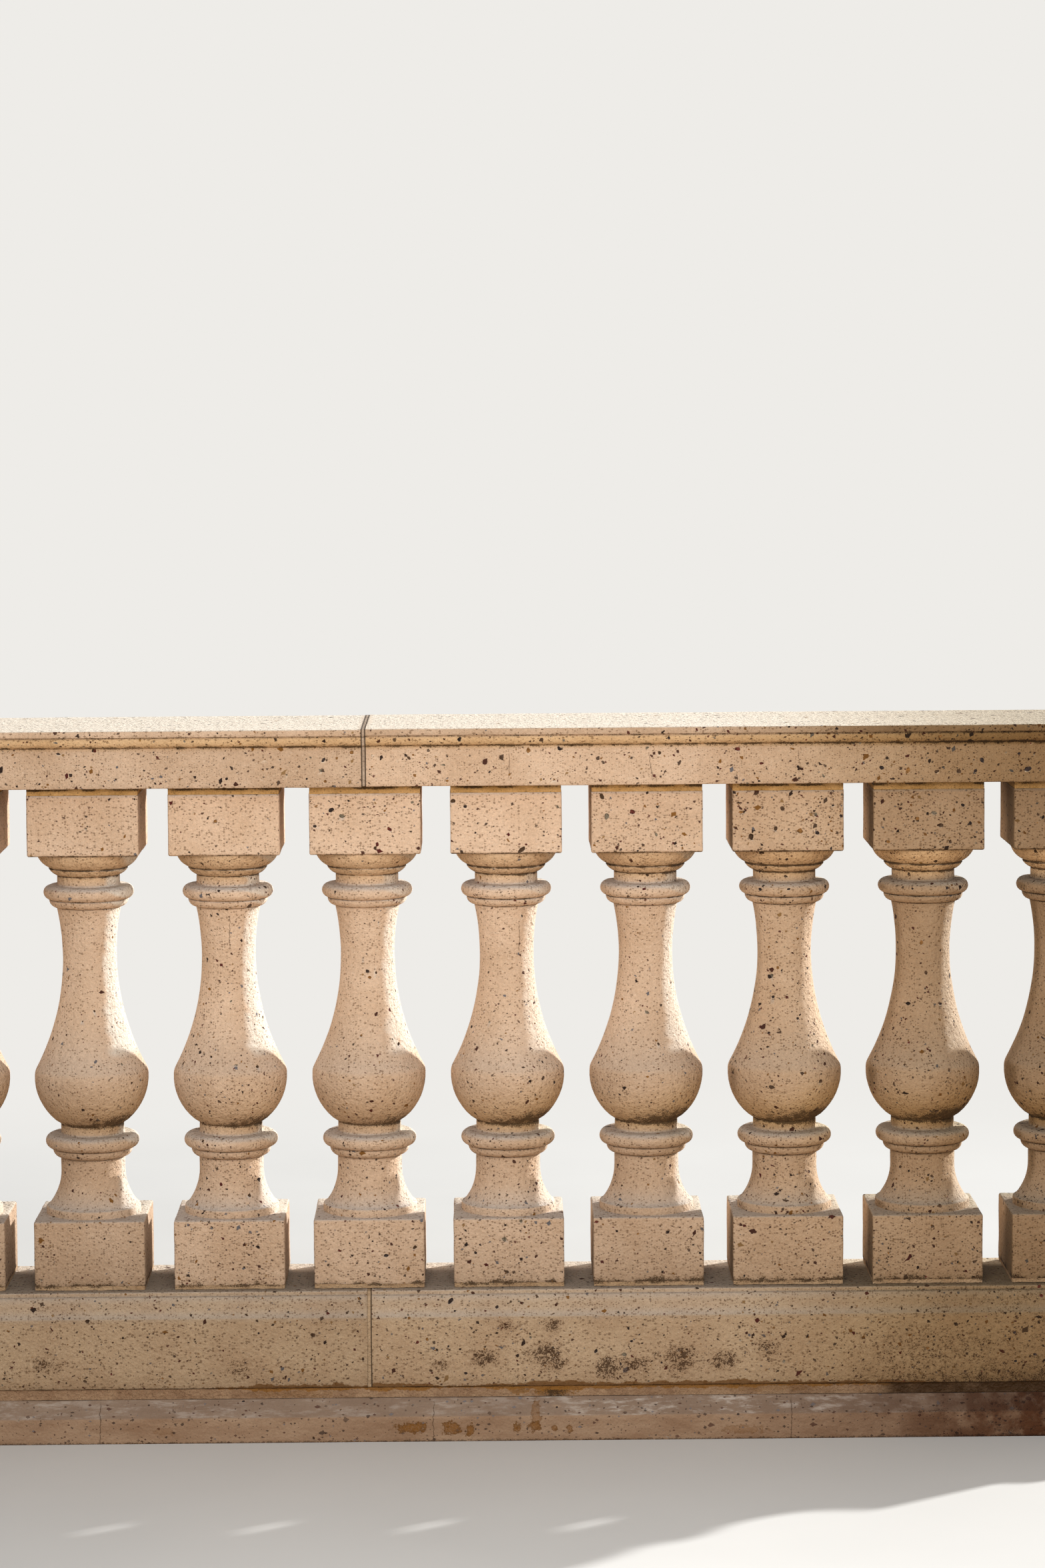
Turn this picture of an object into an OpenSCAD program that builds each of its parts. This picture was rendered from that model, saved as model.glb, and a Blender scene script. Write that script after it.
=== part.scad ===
// Cast-stone balustrade: a straight run of turned vase balusters between a moulded
// base course on a plinth kerb and a moulded handrail. Millimetres, X along the run,
// +Z up, origin at the middle of the underside.

/* [Run] */
// Number of balusters; the middle one stands over the joint of the base and of the rail
baluster_count = 13; // [5:2:21]
// Spacing of the balusters, centre to centre
baluster_pitch = 225; // [200:1:300]
// Width of the upright mortar joints between the units of the base and of the rail
joint_w = 7; // [3:0.5:15]
// Depth that pointing mortar lies back from the faces of the stone
joint_recess = 1.5; // [0.5:0.5:4]
// Rounding of the arrises of the rail and of the base course
arris_r = 2.5; // [1:0.5:4]

/* [Plinth kerb] */
// Height of the plinth's upright face
plinth_face_h = 42; // [20:1:90]
// Height of the sloped wash above the plinth's face
wash_h = 25; // [10:1:50]
// How far the plinth's face stands out from the face of the base course
wash_run = 22; // [8:1:50]
// Thickness of the mortar bed between the plinth and the base course
base_bed_t = 17; // [8:1:30]
// Depth that this bed lies back from the face of the base course
base_bed_recess = 3; // [1:0.5:8]

/* [Base course] */
// Width of the base course's top, across the run
base_top_w = 212; // [204:1:260]
// Height of the base course's flat face
base_face_h = 113; // [60:1:200]
// Height of the cove that rises from the flat face
base_cove_h = 20; // [10:1:30]
// How far the cove draws the section in, each side
base_cove_run = 8; // [4:0.5:16]
// Height of the convex moulding above the cove
base_round_h = 15; // [8:1:25]
// How far the convex moulding draws the section in, each side
base_round_run = 5; // [3:0.5:10]
// Width of the small ledge under the top fillet
base_ledge = 3; // [1:0.5:8]
// Height of the top fillet of the base course
base_fillet_h = 7; // [5:0.5:20]

/* [Baluster blocks] */
// Side of the square blocks at both ends of a baluster
block_w = 178; // [176:1:190]
// Height of the lower block
low_block_h = 105; // [60:1:160]
// Height of the upper block
up_block_h = 98; // [60:1:160]
// Rounding of the blocks' arrises
block_arris_r = 3; // [1:0.5:6]
// Thickness of the mortar bed under a baluster
low_bed_t = 7; // [4:0.5:20]
// Thickness of the mortar bed over a baluster
up_bed_t = 14; // [6:0.5:25]
// Depth that the baluster beds lie back from the faces of the blocks
bed_recess = 2; // [0.5:0.5:6]

/* [Baluster foot] */
// Radius of the foot disc
foot_r = 76.5; // [74:0.5:85]
// Height of the foot disc
foot_h = 13.5; // [8:0.5:25]
// Rounding of the foot disc's upper edge
foot_round_r = 3; // [1:0.5:6]
// Width of the small ledge between that rounding and the foot of the cove
foot_ledge = 1; // [0.5:0.5:3]
// Radius of the pedestal's straight neck
pedestal_r = 52; // [44:0.5:60]
// Height of the pedestal, cove and straight neck together
pedestal_h = 79; // [65:1:110]
// Radius of the pedestal's cove curve
pedestal_cove_r = 88; // [70:1:100]

/* [Baluster rings] */
// Outer radius of the lower ring
low_ring_r = 64.5; // [60:0.5:70]
// Height of the lower ring
low_ring_h = 14.5; // [10:0.5:20]
// Outer radius of the lower torus
low_torus_r = 76; // [70:0.5:85]
// Height of the lower torus
low_torus_h = 23.5; // [16:0.5:36]
// Outer radius of the upper ring
up_ring_r = 64; // [60:0.5:70]
// Height of the upper ring
up_ring_h = 13; // [10:0.5:20]
// Outer radius of the upper torus
up_torus_r = 73; // [68:0.5:82]
// Height of the upper torus
up_torus_h = 22.5; // [16:0.5:36]

/* [Baluster vase] */
// Radius of the neck under the belly
low_neck_r = 51; // [44:0.5:58]
// Height of the neck under the belly
low_neck_h = 16; // [8:0.5:30]
// Radius of the belly, whose lower half is a ball
belly_r = 92; // [80:0.5:100]
// Height of the shaft's waist above the middle of the belly
waist_rise = 197; // [160:1:240]
// Radius of the shaft at its waist
waist_r = 43.3; // [36:0.1:50]
// Radius of the long hollow curve from the belly's shoulder to the top of the shaft
shaft_curve_r = 385; // [320:1:460]
// Height of the shaft's top above its waist
shaft_rise = 80.5; // [50:0.5:100]
// Rounding where the shaft's curve meets the ball of the belly
shoulder_r = 25; // [10:1:40]

/* [Baluster cap] */
// Radius of the neck over the upper torus
up_neck_r = 50.5; // [44:0.5:56]
// Height of the neck over the upper torus
up_neck_h = 16; // [6:0.5:25]
// Radius where the small ovolo springs from the neck under it
small_ovolo_foot_r = 51.5; // [51:0.5:58]
// Outer radius of the small ovolo
small_ovolo_r = 64; // [62:0.5:72]
// Height of the small ovolo
small_ovolo_h = 12.5; // [8:0.5:18]
// Radius of the small ovolo's curve
small_ovolo_curve_r = 25; // [18:1:40]
// Radius where the large ovolo springs from the small one
large_ovolo_foot_r = 62.5; // [60:0.5:65]
// Outer radius of the large ovolo, under the block
large_ovolo_r = 83.5; // [80:0.5:88]
// Height of the large ovolo
large_ovolo_h = 26; // [20:0.5:35]
// Radius of the large ovolo's curve
large_ovolo_curve_r = 34; // [28:1:60]

/* [Handrail] */
// Width of the handrail's top
rail_top_w = 286; // [270:1:340]
// Height of the top fillet
rail_fillet_h = 12.5; // [8:0.5:25]
// How far the top fillet stands out over the ovolo
rail_quirk = 3; // [1:0.5:8]
// How far the ovolo stands out over the plain fascia
rail_ovolo_run = 13; // [6:0.5:16]
// Height of the ovolo
rail_ovolo_h = 17; // [16:0.5:30]
// Height of the plain fascia
rail_fascia_h = 64.5; // [30:0.5:110]

/* [Hidden] */
$fn = 96;
// Overlap that makes the pieces of one solid merge
merge = 1;
// Reach of cutting shapes past what they cut
clear = 10;

stone = [0.80, 0.70, 0.57];
kerb_stone = [0.72, 0.62, 0.52];
pale_mortar = [0.70, 0.62, 0.50];
stained_mortar = [0.55, 0.43, 0.26];

run_len = baluster_count * baluster_pitch;
unit_len = (run_len - joint_w) / 2;

// Base course, from its flat face in to its top
base_round_w = base_top_w + 2 * base_ledge;
base_waist_w = base_round_w + 2 * base_round_run;
base_face_w = base_waist_w + 2 * base_cove_run;
base_h = base_face_h + base_cove_h + base_round_h + base_fillet_h;

// Heights up the run
plinth_h = plinth_face_h + wash_h;
base_z = plinth_h + base_bed_t;
base_top_z = base_z + base_h;
baluster_z = base_top_z + low_bed_t;

// Heights up a baluster, from its underside
foot_z = low_block_h;
pedestal_z = foot_z + foot_h;
low_ring_z = pedestal_z + pedestal_h;
low_torus_z = low_ring_z + low_ring_h;
low_neck_z = low_torus_z + low_torus_h;
belly_z = low_neck_z + low_neck_h + sqrt(pow(belly_r, 2) - pow(low_neck_r, 2));
waist_z = belly_z + waist_rise;
up_ring_z = waist_z + shaft_rise;
up_torus_z = up_ring_z + up_ring_h;
up_neck_z = up_torus_z + up_torus_h;
small_ovolo_z = up_neck_z + up_neck_h;
large_ovolo_z = small_ovolo_z + small_ovolo_h;
up_block_z = large_ovolo_z + large_ovolo_h;
baluster_h = up_block_z + up_block_h;

// Handrail
rail_z = baluster_z + baluster_h + up_bed_t;
rail_ovolo_w = rail_top_w - 2 * rail_quirk;
rail_fascia_w = rail_ovolo_w - 2 * rail_ovolo_run;

// The long curve of the shaft is struck from a point this far outside the baluster's middle
shaft_curve_x = waist_r + shaft_curve_r;
shaft_top_r = shaft_curve_x - sqrt(pow(shaft_curve_r, 2) - pow(shaft_rise, 2));

// Centre of the circle of radius r through p and q, on the left of the way from p to q
function arc_centre(p, q, r) =
    let (d = q - p, m = (p + q) / 2, half = norm(d) / 2)
    m + [-d.y, d.x] / norm(d) * sqrt(r * r - half * half);

// Meeting point of two circles, on the right of the way from a to b
function circle_meet(a, ra, b, rb) =
    let (d = b - a, n = norm(d), along = (ra * ra - rb * rb + n * n) / (2 * n))
    a + d / n * along + [d.y, -d.x] / n * sqrt(ra * ra - along * along);

// Point on the circle round c with radius r, towards p
function towards(c, p, r) = c + (p - c) / norm(p - c) * r;

// Number of a baluster as two figures
function two_figures(i) = str(i < 10 ? "0" : "", i);
function baluster_name(i) = str("baluster_", two_figures(i));
function baluster_x(i) = (i - (baluster_count + 1) / 2) * baluster_pitch;

// Rectangle centred on the Y axis, standing on the X axis
module plate_2d(w, h) {
    translate([-w / 2, 0]) square([w, h]);
}

// Such a rectangle with its two upper corners rounded
module round_top_2d(w, h, r) {
    plate_2d(w, h - r);
    translate([0, h - r - merge]) plate_2d(w - 2 * r, r + merge);
    for (side = [-1, 1]) translate([side * (w / 2 - r), h - r]) circle(r);
}

// A length of some section, laid along X with the section's own Y axis upright
module along_run(length) {
    rotate([90, 0, 90]) linear_extrude(length, center = true) children();
}

// Section of the base course: flat face, cove, convex moulding, ledge and top fillet.
// back is how far the section lies inside the stone's faces, as a mortar joint does.
module base_section(back = 0) {
    cove_r = (pow(base_cove_run, 2) + pow(base_cove_h, 2)) / (2 * base_cove_run);
    round_r = (pow(base_round_run, 2) + pow(base_round_h, 2)) / (2 * base_round_run);
    waist = base_waist_w / 2 - back;
    spring_z = base_face_h + base_cove_h;
    plate_2d(base_face_w - 2 * back, base_face_h);
    difference() {
        translate([0, base_face_h - merge]) plate_2d(base_face_w - 2 * back, base_cove_h + merge);
        for (side = [-1, 1]) intersection() {
            translate([side * (waist + cove_r), spring_z]) circle(cove_r);
            translate([side * (waist + clear), base_face_h]) plate_2d(2 * clear, base_cove_h + merge);
        }
        for (side = [-1, 1]) translate([side * (waist + clear), spring_z]) plate_2d(2 * clear, merge);
    }
    intersection() {
        translate([0, spring_z - merge]) plate_2d(2 * waist, base_round_h + merge);
        union() {
            for (side = [-1, 1]) translate([side * (waist - round_r), spring_z]) circle(round_r);
            translate([0, spring_z - merge]) plate_2d(2 * (waist - round_r), base_round_h + merge);
        }
    }
    translate([0, spring_z + base_round_h - merge])
        round_top_2d(base_top_w - 2 * back, base_fillet_h + merge - back, arris_r);
}

// Section of the handrail: plain fascia, ovolo and top fillet
module rail_section(back = 0) {
    ovolo_z = rail_fascia_h;
    fillet_z = rail_fascia_h + rail_ovolo_h;
    fascia = rail_fascia_w / 2 - back;
    translate([0, back]) plate_2d(2 * fascia, fillet_z - back);
    for (side = [-1, 1]) translate([side * fascia, ovolo_z + rail_ovolo_run]) circle(rail_ovolo_run);
    translate([0, ovolo_z + rail_ovolo_run])
        plate_2d(rail_ovolo_w - 2 * back, rail_ovolo_h - rail_ovolo_run + merge);
    translate([0, fillet_z]) round_top_2d(rail_top_w - 2 * back, rail_fillet_h - back, arris_r);
}

// Disc in half section with its upper edge rounded
module disc_2d(r, h, edge_r) {
    square([r, h - edge_r]);
    square([r - edge_r, h]);
    translate([r - edge_r, h - edge_r]) circle(edge_r);
}

// Ring in half section whose underside is a quarter round
module ring_2d(r, inner_r, h) {
    edge = min(r - inner_r, h);
    square([r - edge, h]);
    translate([0, edge]) square([r, h - edge]);
    intersection() {
        translate([r - edge, edge]) circle(edge);
        square([r, edge]);
    }
}

// Torus in half section
module torus_2d(r, h) {
    square([r - h / 2, h]);
    translate([r - h / 2, h / 2]) circle(h / 2);
}

// Ovolo in half section, swelling from low_r at its foot to top_r
module ovolo_2d(low_r, top_r, h, curve_r) {
    centre = arc_centre([low_r, 0], [top_r, h], curve_r);
    square([centre.x, h]);
    intersection() {
        translate(centre) circle(curve_r);
        square([top_r, h]);
    }
}

// Pedestal in half section: a cove that sweeps up from the foot disc to a straight neck
module pedestal_2d() {
    start_r = foot_r - foot_round_r - foot_ledge;
    centre_r = pedestal_r + pedestal_cove_r;
    spring_z = sqrt(pow(pedestal_cove_r, 2) - pow(centre_r - start_r, 2));
    difference() {
        square([start_r, spring_z]);
        translate([centre_r, spring_z]) circle(pedestal_cove_r);
    }
    square([pedestal_r, pedestal_h]);
}

// Vase in half section: the ball of the belly under the long hollow curve of the shaft,
// with the corner where they meet rounded
module vase_2d() {
    ball = [0, belly_z];
    hollow = [shaft_curve_x, waist_z];
    corner = circle_meet(ball, belly_r, hollow, shaft_curve_r);
    soft = circle_meet(ball, belly_r - shoulder_r, hollow, shaft_curve_r + shoulder_r);
    ball_end = towards(ball, soft, belly_r);
    shaft_end = towards(hollow, soft, shaft_curve_r);
    outside = corner + (corner - soft);
    low_z = low_neck_z + low_neck_h;
    difference() {
        union() {
            intersection() {
                translate(ball) circle(belly_r);
                translate([0, low_z]) square([belly_r, corner.y - low_z]);
            }
            difference() {
                translate([0, corner.y - merge]) square([corner.x, up_ring_z - corner.y + merge]);
                translate(hollow) circle(shaft_curve_r);
            }
        }
        difference() {
            polygon([soft, ball_end, outside, shaft_end]);
            translate(soft) circle(shoulder_r);
        }
    }
}

// The whole turned part of a baluster in half section
module turned_2d() {
    translate([0, foot_z - merge]) square([foot_r - foot_round_r, merge]);
    translate([0, foot_z]) disc_2d(foot_r, foot_h, foot_round_r);
    translate([0, pedestal_z]) pedestal_2d();
    translate([0, low_ring_z]) ring_2d(low_ring_r, pedestal_r, low_ring_h);
    translate([0, low_torus_z]) torus_2d(low_torus_r, low_torus_h);
    translate([0, low_neck_z]) square([low_neck_r, low_neck_h + merge]);
    vase_2d();
    translate([0, up_ring_z]) ring_2d(up_ring_r, shaft_top_r, up_ring_h);
    translate([0, up_torus_z]) torus_2d(up_torus_r, up_torus_h);
    translate([0, up_neck_z]) square([up_neck_r, up_neck_h]);
    translate([0, small_ovolo_z])
        ovolo_2d(small_ovolo_foot_r, small_ovolo_r, small_ovolo_h, small_ovolo_curve_r);
    translate([0, large_ovolo_z])
        ovolo_2d(large_ovolo_foot_r, large_ovolo_r, large_ovolo_h, large_ovolo_curve_r);
    translate([0, up_block_z]) square([large_ovolo_foot_r, merge]);
}

// Square in plan with rounded corners
module block_plan_2d() {
    inner = block_w - 2 * block_arris_r;
    square([block_w, inner], center = true);
    square([inner, block_w], center = true);
    for (x = [-1, 1], y = [-1, 1]) translate([x * inner / 2, y * inner / 2]) circle(block_arris_r);
}

// Square block standing on z = 0, rounded on its upright arrises and round its top.
// Its underside stays sharp, for bedding.
module block(h) {
    intersection() {
        linear_extrude(h) block_plan_2d();
        along_run(block_w + 2 * merge) round_top_2d(block_w, h, block_arris_r);
        rotate([0, 0, 90]) along_run(block_w + 2 * merge) round_top_2d(block_w, h, block_arris_r);
    }
}

// One cast baluster, standing on z = 0
module baluster() {
    color(stone) {
        block(low_block_h);
        rotate_extrude() turned_2d();
        translate([0, 0, baluster_h]) mirror([0, 0, 1]) block(up_block_h);
    }
}

// Mortar beds of all the balusters, t thick with their undersides at height z
module baluster_beds(z, t) {
    side = block_w - 2 * bed_recess;
    color(pale_mortar)
        for (i = [1 : baluster_count])
            translate([baluster_x(i), 0, z + t / 2]) cube([side, side, t], center = true);
}

module plinth_kerb() {
    color(kerb_stone) along_run(run_len) {
        plate_2d(base_face_w + 2 * wash_run, plinth_face_h);
        polygon([
            [-base_face_w / 2 - wash_run, plinth_face_h],
            [base_face_w / 2 + wash_run, plinth_face_h],
            [base_face_w / 2, plinth_h],
            [-base_face_w / 2, plinth_h]
        ]);
    }
}

module base_bed() {
    color(stained_mortar) translate([0, 0, plinth_h]) along_run(run_len)
        plate_2d(base_face_w - 2 * base_bed_recess, base_bed_t);
}

// One unit of the base course or of the rail: side is -1 for the left one, 1 for the right
module unit_place(side, z) {
    translate([side * (joint_w + unit_len) / 2, 0, z]) children();
}

module base_unit(side) {
    color(stone) unit_place(side, base_z) along_run(unit_len) base_section();
}

module base_joint() {
    color(pale_mortar) translate([0, 0, base_z]) along_run(joint_w) base_section(joint_recess);
}

module rail_unit(side) {
    color(stone) unit_place(side, rail_z) along_run(unit_len) rail_section();
}

module rail_joint() {
    color(pale_mortar) translate([0, 0, rail_z]) along_run(joint_w) rail_section(joint_recess);
}

plinth_kerb();
base_bed();
base_unit(-1);  // base_left
base_unit(1);  // base_right
base_joint();
baluster_beds(base_top_z, low_bed_t);  // baluster_beds_lower
for (i = [1 : baluster_count])
    translate([baluster_x(i), 0, baluster_z]) baluster();
baluster_beds(baluster_z + baluster_h, up_bed_t);  // baluster_beds_upper
rail_unit(-1);  // rail_left
rail_unit(1);  // rail_right
rail_joint();
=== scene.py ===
"""Looks of a weathered cast-stone balustrade, built over its CAD frame.

Thirteen turned vase balusters stand on a moulded base course and a plinth kerb, under a
moulded handrail in two lengths. Sizes are in metres unless a docstring says millimetres.
X runs along the balustrade, its front faces -Y and the floor is at z = 0.
"""
import contextlib
import functools
import logging
import math
from dataclasses import dataclass
from enum import Enum
from typing import Callable, ClassVar, Iterator, Sequence

import bpy
import numpy as np
from mathutils import Matrix, Vector


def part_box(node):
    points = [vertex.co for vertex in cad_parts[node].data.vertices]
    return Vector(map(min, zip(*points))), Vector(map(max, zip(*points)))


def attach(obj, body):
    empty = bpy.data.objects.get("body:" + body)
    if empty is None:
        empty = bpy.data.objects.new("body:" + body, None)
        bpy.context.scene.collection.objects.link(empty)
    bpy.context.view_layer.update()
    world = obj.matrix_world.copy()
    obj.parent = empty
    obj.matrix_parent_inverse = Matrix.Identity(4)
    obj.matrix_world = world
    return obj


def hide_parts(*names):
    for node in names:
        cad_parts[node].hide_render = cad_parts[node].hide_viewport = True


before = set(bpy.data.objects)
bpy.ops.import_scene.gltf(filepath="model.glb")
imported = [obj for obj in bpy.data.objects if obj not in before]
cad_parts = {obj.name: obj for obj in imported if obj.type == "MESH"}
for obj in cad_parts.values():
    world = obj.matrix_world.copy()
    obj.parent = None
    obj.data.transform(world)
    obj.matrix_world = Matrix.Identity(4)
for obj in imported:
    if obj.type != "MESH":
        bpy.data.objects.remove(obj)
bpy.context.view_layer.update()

Colour = tuple[float, float, float]
Points = list[tuple[float, float]]
Rule = Callable[[np.ndarray, np.ndarray], np.ndarray]

MM = 0.001
FRONT = (0.0, -1.0, 0.0)
log = logging.getLogger("balustrade")

# Modelling steps


def leave() -> None:
    """Goes back to object mode with nothing selected."""
    if bpy.context.mode != "OBJECT":
        bpy.ops.object.mode_set(mode="OBJECT")
    bpy.ops.object.select_all(action="DESELECT")


def take(piece: bpy.types.Object) -> None:
    """Makes a piece the only one selected, and the active one.

    Args:
        piece: The piece to select.
    """
    leave()
    piece.select_set(True)
    bpy.context.view_layer.objects.active = piece


@contextlib.contextmanager
def editing(piece: bpy.types.Object, kind: str = "VERT") -> Iterator[None]:
    """Opens a piece in edit mode with everything selected, and closes it afterwards.

    Args:
        piece: The piece to edit.
        kind: What is selected: VERT, EDGE or FACE.

    Yields:
        Nothing, while the piece is open.
    """
    take(piece)
    bpy.ops.object.mode_set(mode="EDIT")
    bpy.ops.mesh.select_mode(type=kind)
    bpy.ops.mesh.select_all(action="SELECT")
    yield
    bpy.ops.object.mode_set(mode="OBJECT")


def pick_points(piece: bpy.types.Object, wanted: Callable[[Vector], bool]) -> None:
    """Selects, in edit mode, only the points whose place passes a test.

    Args:
        piece: The piece in edit mode.
        wanted: Gets a point's place.
    """
    bpy.ops.mesh.select_all(action="DESELECT")
    bpy.ops.object.mode_set(mode="OBJECT")
    for vertex in piece.data.vertices:
        vertex.select = wanted(vertex.co)
    bpy.ops.object.mode_set(mode="EDIT")


def pick_edges(piece: bpy.types.Object, wanted: Callable[[Vector, Vector], bool]) -> None:
    """Selects, in edit mode, only the edges whose two ends pass a test.

    Args:
        piece: The piece in edit mode.
        wanted: Gets the places of an edge's two ends.
    """
    bpy.ops.mesh.select_all(action="DESELECT")
    bpy.ops.object.mode_set(mode="OBJECT")
    for edge in piece.data.edges:
        first, second = (piece.data.vertices[i].co for i in edge.vertices)
        edge.select = wanted(first, second)
    bpy.ops.object.mode_set(mode="EDIT")


def apply(piece: bpy.types.Object, kind: str, **settings: object) -> None:
    """Adds a modifier to a piece with these settings and applies it.

    Args:
        piece: The piece.
        kind: The modifier's type.
        settings: Its settings by name.
    """
    take(piece)
    modifier = piece.modifiers.new(kind.lower(), kind)
    for name, value in settings.items():
        setattr(modifier, name, value)
    bpy.ops.object.modifier_apply(modifier=modifier.name)


def roughen(piece: bpy.types.Object, size: float, relief: float, middle: float = 0.5) -> None:
    """Moves a piece's surface in and out by cloudy noise.

    Args:
        piece: The piece.
        size: Size of the clouds.
        relief: How far the surface moves in all, in millimetres.
        middle: The cloud's value, 0 to 1, that leaves a point where it is.
    """
    clouds = bpy.data.textures.new(f"clouds_{piece.name}", "CLOUDS")
    clouds.noise_scale = size
    apply(
        piece, "DISPLACE", texture=clouds, texture_coords="LOCAL", strength=relief * MM,
        mid_level=middle)


def chain(name: str, points: Sequence[Sequence[float]], closed: bool = False) -> bpy.types.Object:
    """Draws a chain of edges by extruding one point after another.

    Args:
        name: Name of the new piece.
        points: Places of the points.
        closed: Whether the chain closes into a face.

    Returns:
        The new piece.
    """
    leave()
    bpy.ops.mesh.primitive_plane_add(size=0.002, location=(0, 0, 0))
    piece = bpy.context.object
    piece.name = name
    with editing(piece):
        bpy.ops.mesh.merge(type="CENTER")
        bpy.ops.transform.translate(value=points[0])
        for start, end in zip(points, points[1:]):
            step = tuple(b - a for a, b in zip(start, end))
            bpy.ops.mesh.extrude_vertices_move(TRANSFORM_OT_translate={"value": step})
        if closed:
            ends = (points[0], points[-1])
            pick_points(piece, lambda place: min(math.dist(place, end) for end in ends) < 1e-6)
            bpy.ops.mesh.edge_face_add()
            bpy.ops.mesh.select_all(action="SELECT")
            bpy.ops.mesh.edge_face_add()
    return piece


def slab(name: str, side: float, low: float, high: float) -> bpy.types.Object:
    """Adds a square slab about the Z axis, between two heights.

    Args:
        name: Its name.
        side: Length of its sides.
        low: Height of its underside.
        high: Height of its top.

    Returns:
        The slab.
    """
    leave()
    bpy.ops.mesh.primitive_cube_add(size=1, location=(0, 0, 0))
    piece = bpy.context.object
    piece.name = name
    with editing(piece):
        bpy.ops.transform.resize(value=(side, side, high - low))
        bpy.ops.transform.translate(value=(0, 0, (low + high) / 2))
    return piece


def outwards(piece: bpy.types.Object, merge: float = 1e-5) -> None:
    """Merges doubled points and turns all faces outwards.

    Args:
        piece: The piece.
        merge: Points nearer to each other than this become one.
    """
    with editing(piece):
        bpy.ops.mesh.remove_doubles(threshold=merge)
        bpy.ops.mesh.normals_make_consistent(inside=False)


def copied(piece: bpy.types.Object, name: str, shift: float) -> bpy.types.Object:
    """Copies a piece, mesh and all, and moves the copy's mesh along the run.

    Args:
        piece: The piece to copy.
        name: The copy's name.
        shift: How far the copy moves.

    Returns:
        The copy.
    """
    leave()
    twin = piece.copy()
    twin.data = piece.data.copy()
    twin.name = name
    bpy.context.scene.collection.objects.link(twin)
    with editing(twin):
        bpy.ops.transform.translate(value=(shift, 0, 0))
    return twin


def discard(piece: bpy.types.Object) -> None:
    """Takes a helper piece away."""
    bpy.data.objects.remove(piece, do_unlink=True)


def places(piece: bpy.types.Object) -> tuple[np.ndarray, np.ndarray]:
    """Gives the places and the normals of a piece's points, one row each.

    Args:
        piece: The piece.

    Returns:
        The places and the normals.
    """
    count = len(piece.data.vertices)
    where, facing = np.zeros(count * 3), np.zeros(count * 3)
    piece.data.vertices.foreach_get("co", where)
    piece.data.vertices.foreach_get("normal", facing)
    return where.reshape(-1, 3), facing.reshape(-1, 3)


def paint(piece: bpy.types.Object, **layers: np.ndarray) -> None:
    """Stores numbers under names, one for each point of a piece, kept between 0 and 1.

    Args:
        piece: The piece.
        layers: The numbers of each layer, by its name.
    """
    for name, amount in layers.items():
        layer = piece.data.attributes.new(name, "FLOAT", "POINT")
        layer.data.foreach_set("value", np.clip(amount, 0, 1).astype(np.float32))


def ease(value: np.ndarray, low: float, high: float) -> np.ndarray:
    """Rises smoothly from 0 at low to 1 at high (or falls, where high is the lower)."""
    share = np.clip((value - low) / (high - low), 0, 1)
    return share * share * (3 - 2 * share)


def bump(value: np.ndarray, middle: float, half: float) -> np.ndarray:
    """Is 1 at the middle and falls off to both sides within about twice half."""
    return np.exp(-(((value - middle) / half) ** 2))


def wander(along: np.ndarray, pace: float, seed: int) -> np.ndarray:
    """An uneven number, 0 to 1, that changes smoothly along a line.

    Args:
        along: Places along the line.
        pace: How far apart its turns are, in the same unit.
        seed: Settles its course.

    Returns:
        The number at each place.
    """
    low, high = float(np.min(along)) - pace, float(np.max(along)) + pace
    count = int((high - low) / pace) + 2
    turns = np.random.default_rng(seed).random(count + 1)
    step = np.clip((along - low) / pace, 0, count - 1e-6)
    first = step.astype(int)
    share = ease(step - first, 0, 1)
    return turns[first] * (1 - share) + turns[first + 1] * share


def arc(centre: Sequence[float], radius: float, start: float, end: float, spacing: float) -> Points:
    """Points along an arc, both ends included, angles in degrees.

    Args:
        centre: Centre of the arc.
        radius: Its radius.
        start: Angle of its first point.
        end: Angle of its last point.
        spacing: Longest step between points.

    Returns:
        The points.
    """
    count = max(2, math.ceil(abs(math.radians(end - start)) * radius / spacing))
    angles = [math.radians(start + (end - start) * i / count) for i in range(count + 1)]
    return [(centre[0] + radius * math.cos(a), centre[1] + radius * math.sin(a)) for a in angles]


def divided(points: Points, spacing: float) -> Points:
    """Adds points along the straight stretches of a line, so that none is longer than spacing.

    Args:
        points: Corners of the line.
        spacing: Longest stretch allowed.

    Returns:
        The line's points.
    """
    out = [points[0]]
    for (ax, ay), (bx, by) in zip(points, points[1:]):
        length = math.hypot(bx - ax, by - ay)
        if length < 1e-9:
            continue
        count = max(1, math.ceil(length / spacing - 1e-6))
        out += [(ax + (bx - ax) * i / count, ay + (by - ay) * i / count) for i in range(1, count + 1)]
    return out


# Node trees


def linear(shade: Colour) -> tuple[float, float, float, float]:
    """Turns a colour as seen on a screen, 0 to 255 each, into linear light with alpha 1."""
    parts = (value / 255 for value in shade)
    return (*(v / 12.92 if v <= 0.04045 else ((v + 0.055) / 1.055) ** 2.4 for v in parts), 1.0)


def operator(kind: str, turned: bool = False) -> Callable[["Wire", object], "Wire"]:
    """Makes a sum of two values for the Wire class.

    Args:
        kind: What the Math node does.
        turned: Whether the other value comes first.

    Returns:
        The method.
    """

    def method(self: "Wire", other: object) -> "Wire":
        """Adds the Math node and gives its result."""
        return self.sheet.maths(kind, *((other, self) if turned else (self, other)))

    return method


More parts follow.
